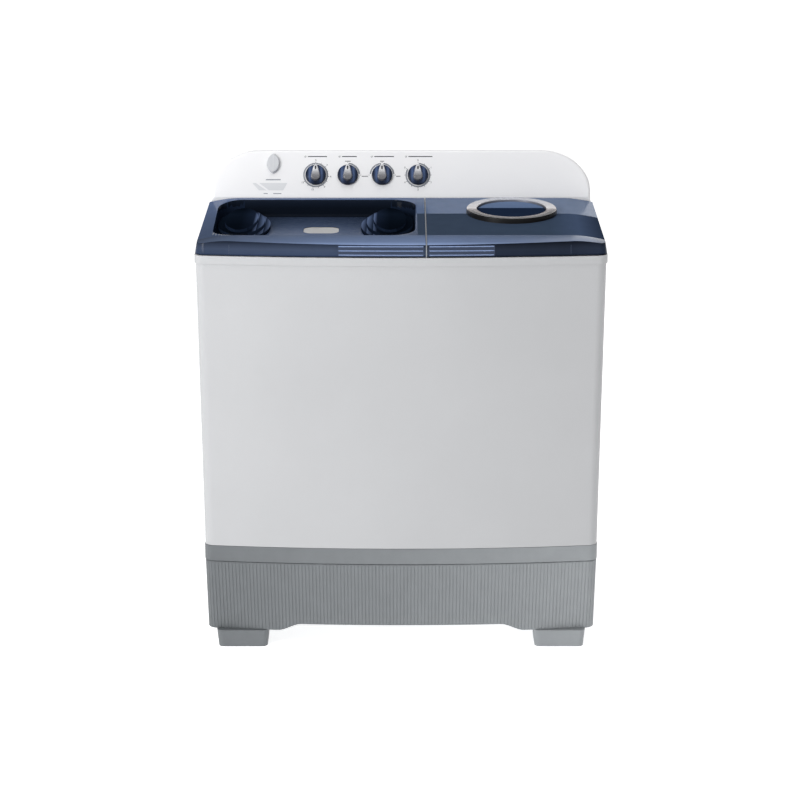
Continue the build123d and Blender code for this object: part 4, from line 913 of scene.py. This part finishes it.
def console_print():
    """Scales, numerals and plain caption bars on the console; no words."""
    ring_marks("wash_timer", [(0.0, 359.0)], range(0, 241, 24))
    ring_marks("wash_mode", [(4.0, 84.0)], (0, 90))
    ring_marks("drain_selector", [(-84.0, -6.0), (6.0, 84.0)], (-90, 0, 90))
    ring_marks("spin_timer", [(4.0, 300.0)], range(0, 301, 30))
    numerals = [dial_number(str(3 * n), KNOB_AT["wash_timer"], 48 * n, NUMBER_RADIUS) for n in range(6)]
    numerals += [dial_number(str(n), KNOB_AT["spin_timer"], 60 * n, NUMBER_RADIUS) for n in range(6)]
    placed("console_numerals", join_meshes(numerals, "console_numerals"), PRINT_DARK, "cabinet")
    bars = {
        "wash_timer": [(0.004, CAPTION_UP, 0.046, 0.0022)],
        "wash_mode": [
            (0.004, CAPTION_UP, 0.036, 0.0022), (0.0, 0.034, 0.014, 0.0016),
            (0.039, -0.003, 0.011, 0.0016),
        ],
        "drain_selector": [
            (0.005, CAPTION_UP, 0.048, 0.0022), (0.0, 0.034, 0.010, 0.0016),
            (-0.039, -0.003, 0.011, 0.0016), (0.039, -0.003, 0.011, 0.0016),
        ],
        "spin_timer": [(0.006, CAPTION_UP, 0.058, 0.0022)],
    }
    for name, spans in bars.items():
        outlines = [rounded_bar(*span) for span in spans]
        mark_x = spans[0][0] - spans[0][2] / 2 - 0.006
        mark = arc_band(0.0012, 0.0021, 0.0, 300.0, 20)
        outlines.append([(x + mark_x, y + CAPTION_UP) for x, y in mark])
        printed(name + "_captions", outlines, KNOB_AT[name], PRINT_DARK)
    lever = Vector(JOINTS["water_selector_swing"]["pos_m"])
    printed(
        "water_captions",
        [rounded_bar(0.0, -0.0395, 0.036, 0.0024), rounded_bar(-0.018, -0.0735, 0.010, 0.0018),
         rounded_bar(0.010, -0.0735, 0.020, 0.0018)],
        lever, PRINT,
    )
    left = [(-0.050, -0.0475), (-0.042, -0.0475), (-0.016, -0.0655), (-0.034, -0.0655)]
    right = [(-0.034, -0.0475), (0.034, -0.0475), (0.024, -0.0655), (-0.010, -0.0655)]
    printed("water_way_marks", [left, right], lever, PRINT_PALE_AND_HIGHLIGHT)


# ---------------------------------------------------------------- knobs
KNURLS = 60


def dial_finish(name, anchor):
    """Navy dial face, painted lighter at its left and right as painted reflections, and darker at its foot
    as painted shade.
    """
    dark, blue, deep = srgb(22, 31, 50), srgb(84, 104, 144), srgb(34, 47, 76)
    return graded(name + "_dial_finish", [
        ("X", anchor.x - 0.025, anchor.x + 0.025, [
            (0.0, dark), (0.12, srgb(30, 42, 66)), (0.22, blue), (0.34, srgb(50, 67, 103)), (0.5, deep),
            (0.66, srgb(50, 67, 103)), (0.78, blue), (0.88, srgb(30, 42, 66)), (1.0, dark),
        ]),
        ("Z", anchor.z - 0.024, anchor.z + 0.026, [
            (0.0, grey(0.2)), (0.24, grey(0.5)), (0.45, grey(1.0)), (0.7, grey(0.9)), (1.0, grey(0.45)),
        ]),
    ], (0.12, 0.22), 0.25)


def knob_dial(name):
    """Glossy dial with a bevelled top and a finely knurled skirt."""
    anchor = KNOB_AT[name]
    lifts = [(vertex.co - anchor).dot(FACE_OUT) for vertex in NODES[name + "_dial"].data.vertices]
    reach = max(
        ((vertex.co - anchor) - FACE_OUT * (vertex.co - anchor).dot(FACE_OUT)).length
        for vertex in NODES[name + "_dial"].data.vertices
    )
    low, high = max(min(lifts), 0.0004), max(lifts)
    rise = high - low
    profile = [
        (0.0, 1.0, 0.0), (0.60, 1.0, 0.0), (0.72, 0.985, 0.0), (0.80, 0.93, 0.0), (0.84, 0.90, 0.0),
        (0.87, 0.93, 0.0), (0.92, 0.90, 0.0), (0.962, 0.78, 0.4), (0.985, 0.60, 1.0), (1.0, 0.30, 1.0),
        (1.0, 0.06, 1.0), (0.985, 0.0, 0.0), (0.0, 0.0, 0.0),
    ]
    around = KNURLS * 4
    points, faces = [], []
    for share, level, knurled in profile:
        for step in range(around):
            turn = 2 * math.pi * step / around
            dip = knurled * 0.014 * (0.5 - 0.5 * math.cos(turn * KNURLS))
            radius = reach * (share - dip) if share else 0.0
            offset = Vector((radius * math.sin(turn), 0, 0)) + FACE_UP * (radius * math.cos(turn))
            points.append(anchor + offset + FACE_OUT * (low + rise * level))
    for index in range(len(profile) - 1):
        for step in range(around):
            beside = (step + 1) % around
            faces.append((
                index * around + step, index * around + beside,
                (index + 1) * around + beside, (index + 1) * around + step,
            ))
    mesh = mesh_of(points, faces, name + "_dial_fine")
    shell = bmesh.new()
    shell.from_mesh(mesh)
    bmesh.ops.remove_doubles(shell, verts=shell.verts, dist=0.000001)
    bmesh.ops.recalc_face_normals(shell, faces=shell.faces)
    shell.to_mesh(mesh)
    shell.free()
    piece = placed(name + "_dial_fine", mesh, dial_finish(name, anchor), name, 50.0)
    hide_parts(name + "_dial")


def knob_notch(name):
    """Dark pointer notch at the tip of the grip: a dark plate, painted shade standing in for the notch's
    hollow.
    """
    anchor = KNOB_AT[name]
    offsets = [vertex.co - anchor for vertex in NODES[name + "_grip"].data.vertices]
    tip = max(offset.dot(FACE_UP) for offset in offsets)
    near = [o.dot(FACE_OUT) for o in offsets if o.dot(FACE_UP) > tip - 0.010]
    place = on_console(anchor)
    outline = rounded_bar(0.0, 0.0, 0.0088, 0.0036)
    upright = [(y, x + tip - 0.0082) for x, y in outline]
    mesh = prism(upright, place, max(near) - 0.0010, max(near) + 0.00015, name + "_notch")
    placed(name + "_notch", mesh, NOTCH_PAINTED_SHADE, name)


def selector_ridge():
    """Raised spine down the middle of the leaf-shaped water selector, in a paler grey: a painted highlight
    along it.
    """
    anchor = Vector(JOINTS["water_selector_swing"]["pos_m"])
    top = max((vertex.co - anchor).dot(FACE_OUT) for vertex in NODES["water_selector_lever"].data.vertices)
    centre = sum(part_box("water_selector_lever"), Vector()) / 2
    middle = (centre - anchor).dot(FACE_UP)
    upright = [(y + centre.x - anchor.x, x + middle) for x, y in rounded_bar(0.0, 0.0, 0.041, 0.0016)]
    mesh = prism(upright, on_console(anchor), top - 0.0006, top + 0.0005, "selector_ridge")
    placed("water_selector_ridge", mesh, PRINT_PALE_AND_HIGHLIGHT, "water_selector")


# ---------------------------------------------------------------- camera, floor, light
def camera():
    """The viewing angle: from the front, a little above, with a long lens."""
    data = bpy.data.cameras.new("camera")
    data.sensor_width = 36.0
    data.lens = 114.3
    made = bpy.data.objects.new("camera", data)
    made.location = (-0.0024, -5.8829, 2.0008)
    made.rotation_euler = (math.radians(76.0), 0.0, 0.0)
    bpy.context.scene.collection.objects.link(made)
    bpy.context.scene.camera = made
    bpy.context.scene.view_settings.view_transform = "Standard"


def floor():
    """Plain pale floor."""
    half = 30.0
    mesh = mesh_of(
        [(-half, -half, 0), (half, -half, 0), (half, half, 0), (-half, half, 0)], [(0, 1, 2, 3)], "floor"
    )
    ground = bpy.data.objects.new("floor", mesh)
    bpy.context.scene.collection.objects.link(ground)
    finish = Finish("floor")
    drift = finish.ranged(finish.noise(1.5), 0.0, 1.0)
    finish.colour(finish.mixed(drift, srgb(252, 252, 252), srgb(249, 249, 250)))
    finish.shader.inputs["Roughness"].default_value = 0.9
    finish.shader.inputs["Emission Color"].default_value = (1.0, 1.0, 1.0, 1.0)
    finish.shader.inputs["Emission Strength"].default_value = FLOOR_GLOW
    mesh.materials.append(finish.material)


def lamp(name, place, aim, size, power):
    """Soft area light aimed at a point."""
    data = bpy.data.lights.new(name, "AREA")
    data.shape = "RECTANGLE"
    data.size, data.size_y = size
    data.energy = power
    made = bpy.data.objects.new(name, data)
    made.location = place
    made.rotation_euler = (Vector(aim) - Vector(place)).to_track_quat("-Z", "Y").to_euler()
    bpy.context.scene.collection.objects.link(made)


def light():
    """Soft studio world, brightest at the front left, with a large key and a top lamp."""
    world = bpy.data.worlds.new("studio")
    bpy.context.scene.world = world
    world.use_nodes = True
    tree = world.node_tree
    direction = tree.nodes.new("ShaderNodeTexCoord").outputs["Generated"]
    facing = tree.nodes.new("ShaderNodeVectorMath")
    facing.operation = "DOT_PRODUCT"
    facing.inputs[1].default_value = Vector(WORLD_BRIGHT_SIDE).normalized()
    tree.links.new(direction, facing.inputs[0])
    fade = tree.nodes.new("ShaderNodeMapRange")
    fade.interpolation_type = "SMOOTHSTEP"
    for key, value in (
        ("From Min", -0.6), ("From Max", 0.9), ("To Min", WORLD_DIM), ("To Max", WORLD_BRIGHT),
    ):
        fade.inputs[key].default_value = value
    tree.links.new(facing.outputs["Value"], fade.inputs["Value"])
    background = tree.nodes["Background"]
    background.inputs["Color"].default_value = (1.0, 1.0, 1.0, 1.0)
    tree.links.new(fade.outputs["Result"], background.inputs["Strength"])
    lamp("key", (-1.6, -1.7, 1.75), (-0.3, -0.2, 0.8), (0.9, 0.9), KEY_POWER)
    lamp("top", (0.0, -0.6, 4.0), (0.0, 0.0, 0.0), (2.6, 2.2), TOP_POWER)
    lamp("back", (1.6, 3.2, 2.6), (0.0, 0.0, 0.6), (2.0, 2.0), BACK_POWER)


camera()
floor()
light()
lids()
lid_fronts()
base_skirt()
console_print()
selector_ridge()
for knob in KNOB_NAMES:
    knob_dial(knob)
    knob_notch(knob)
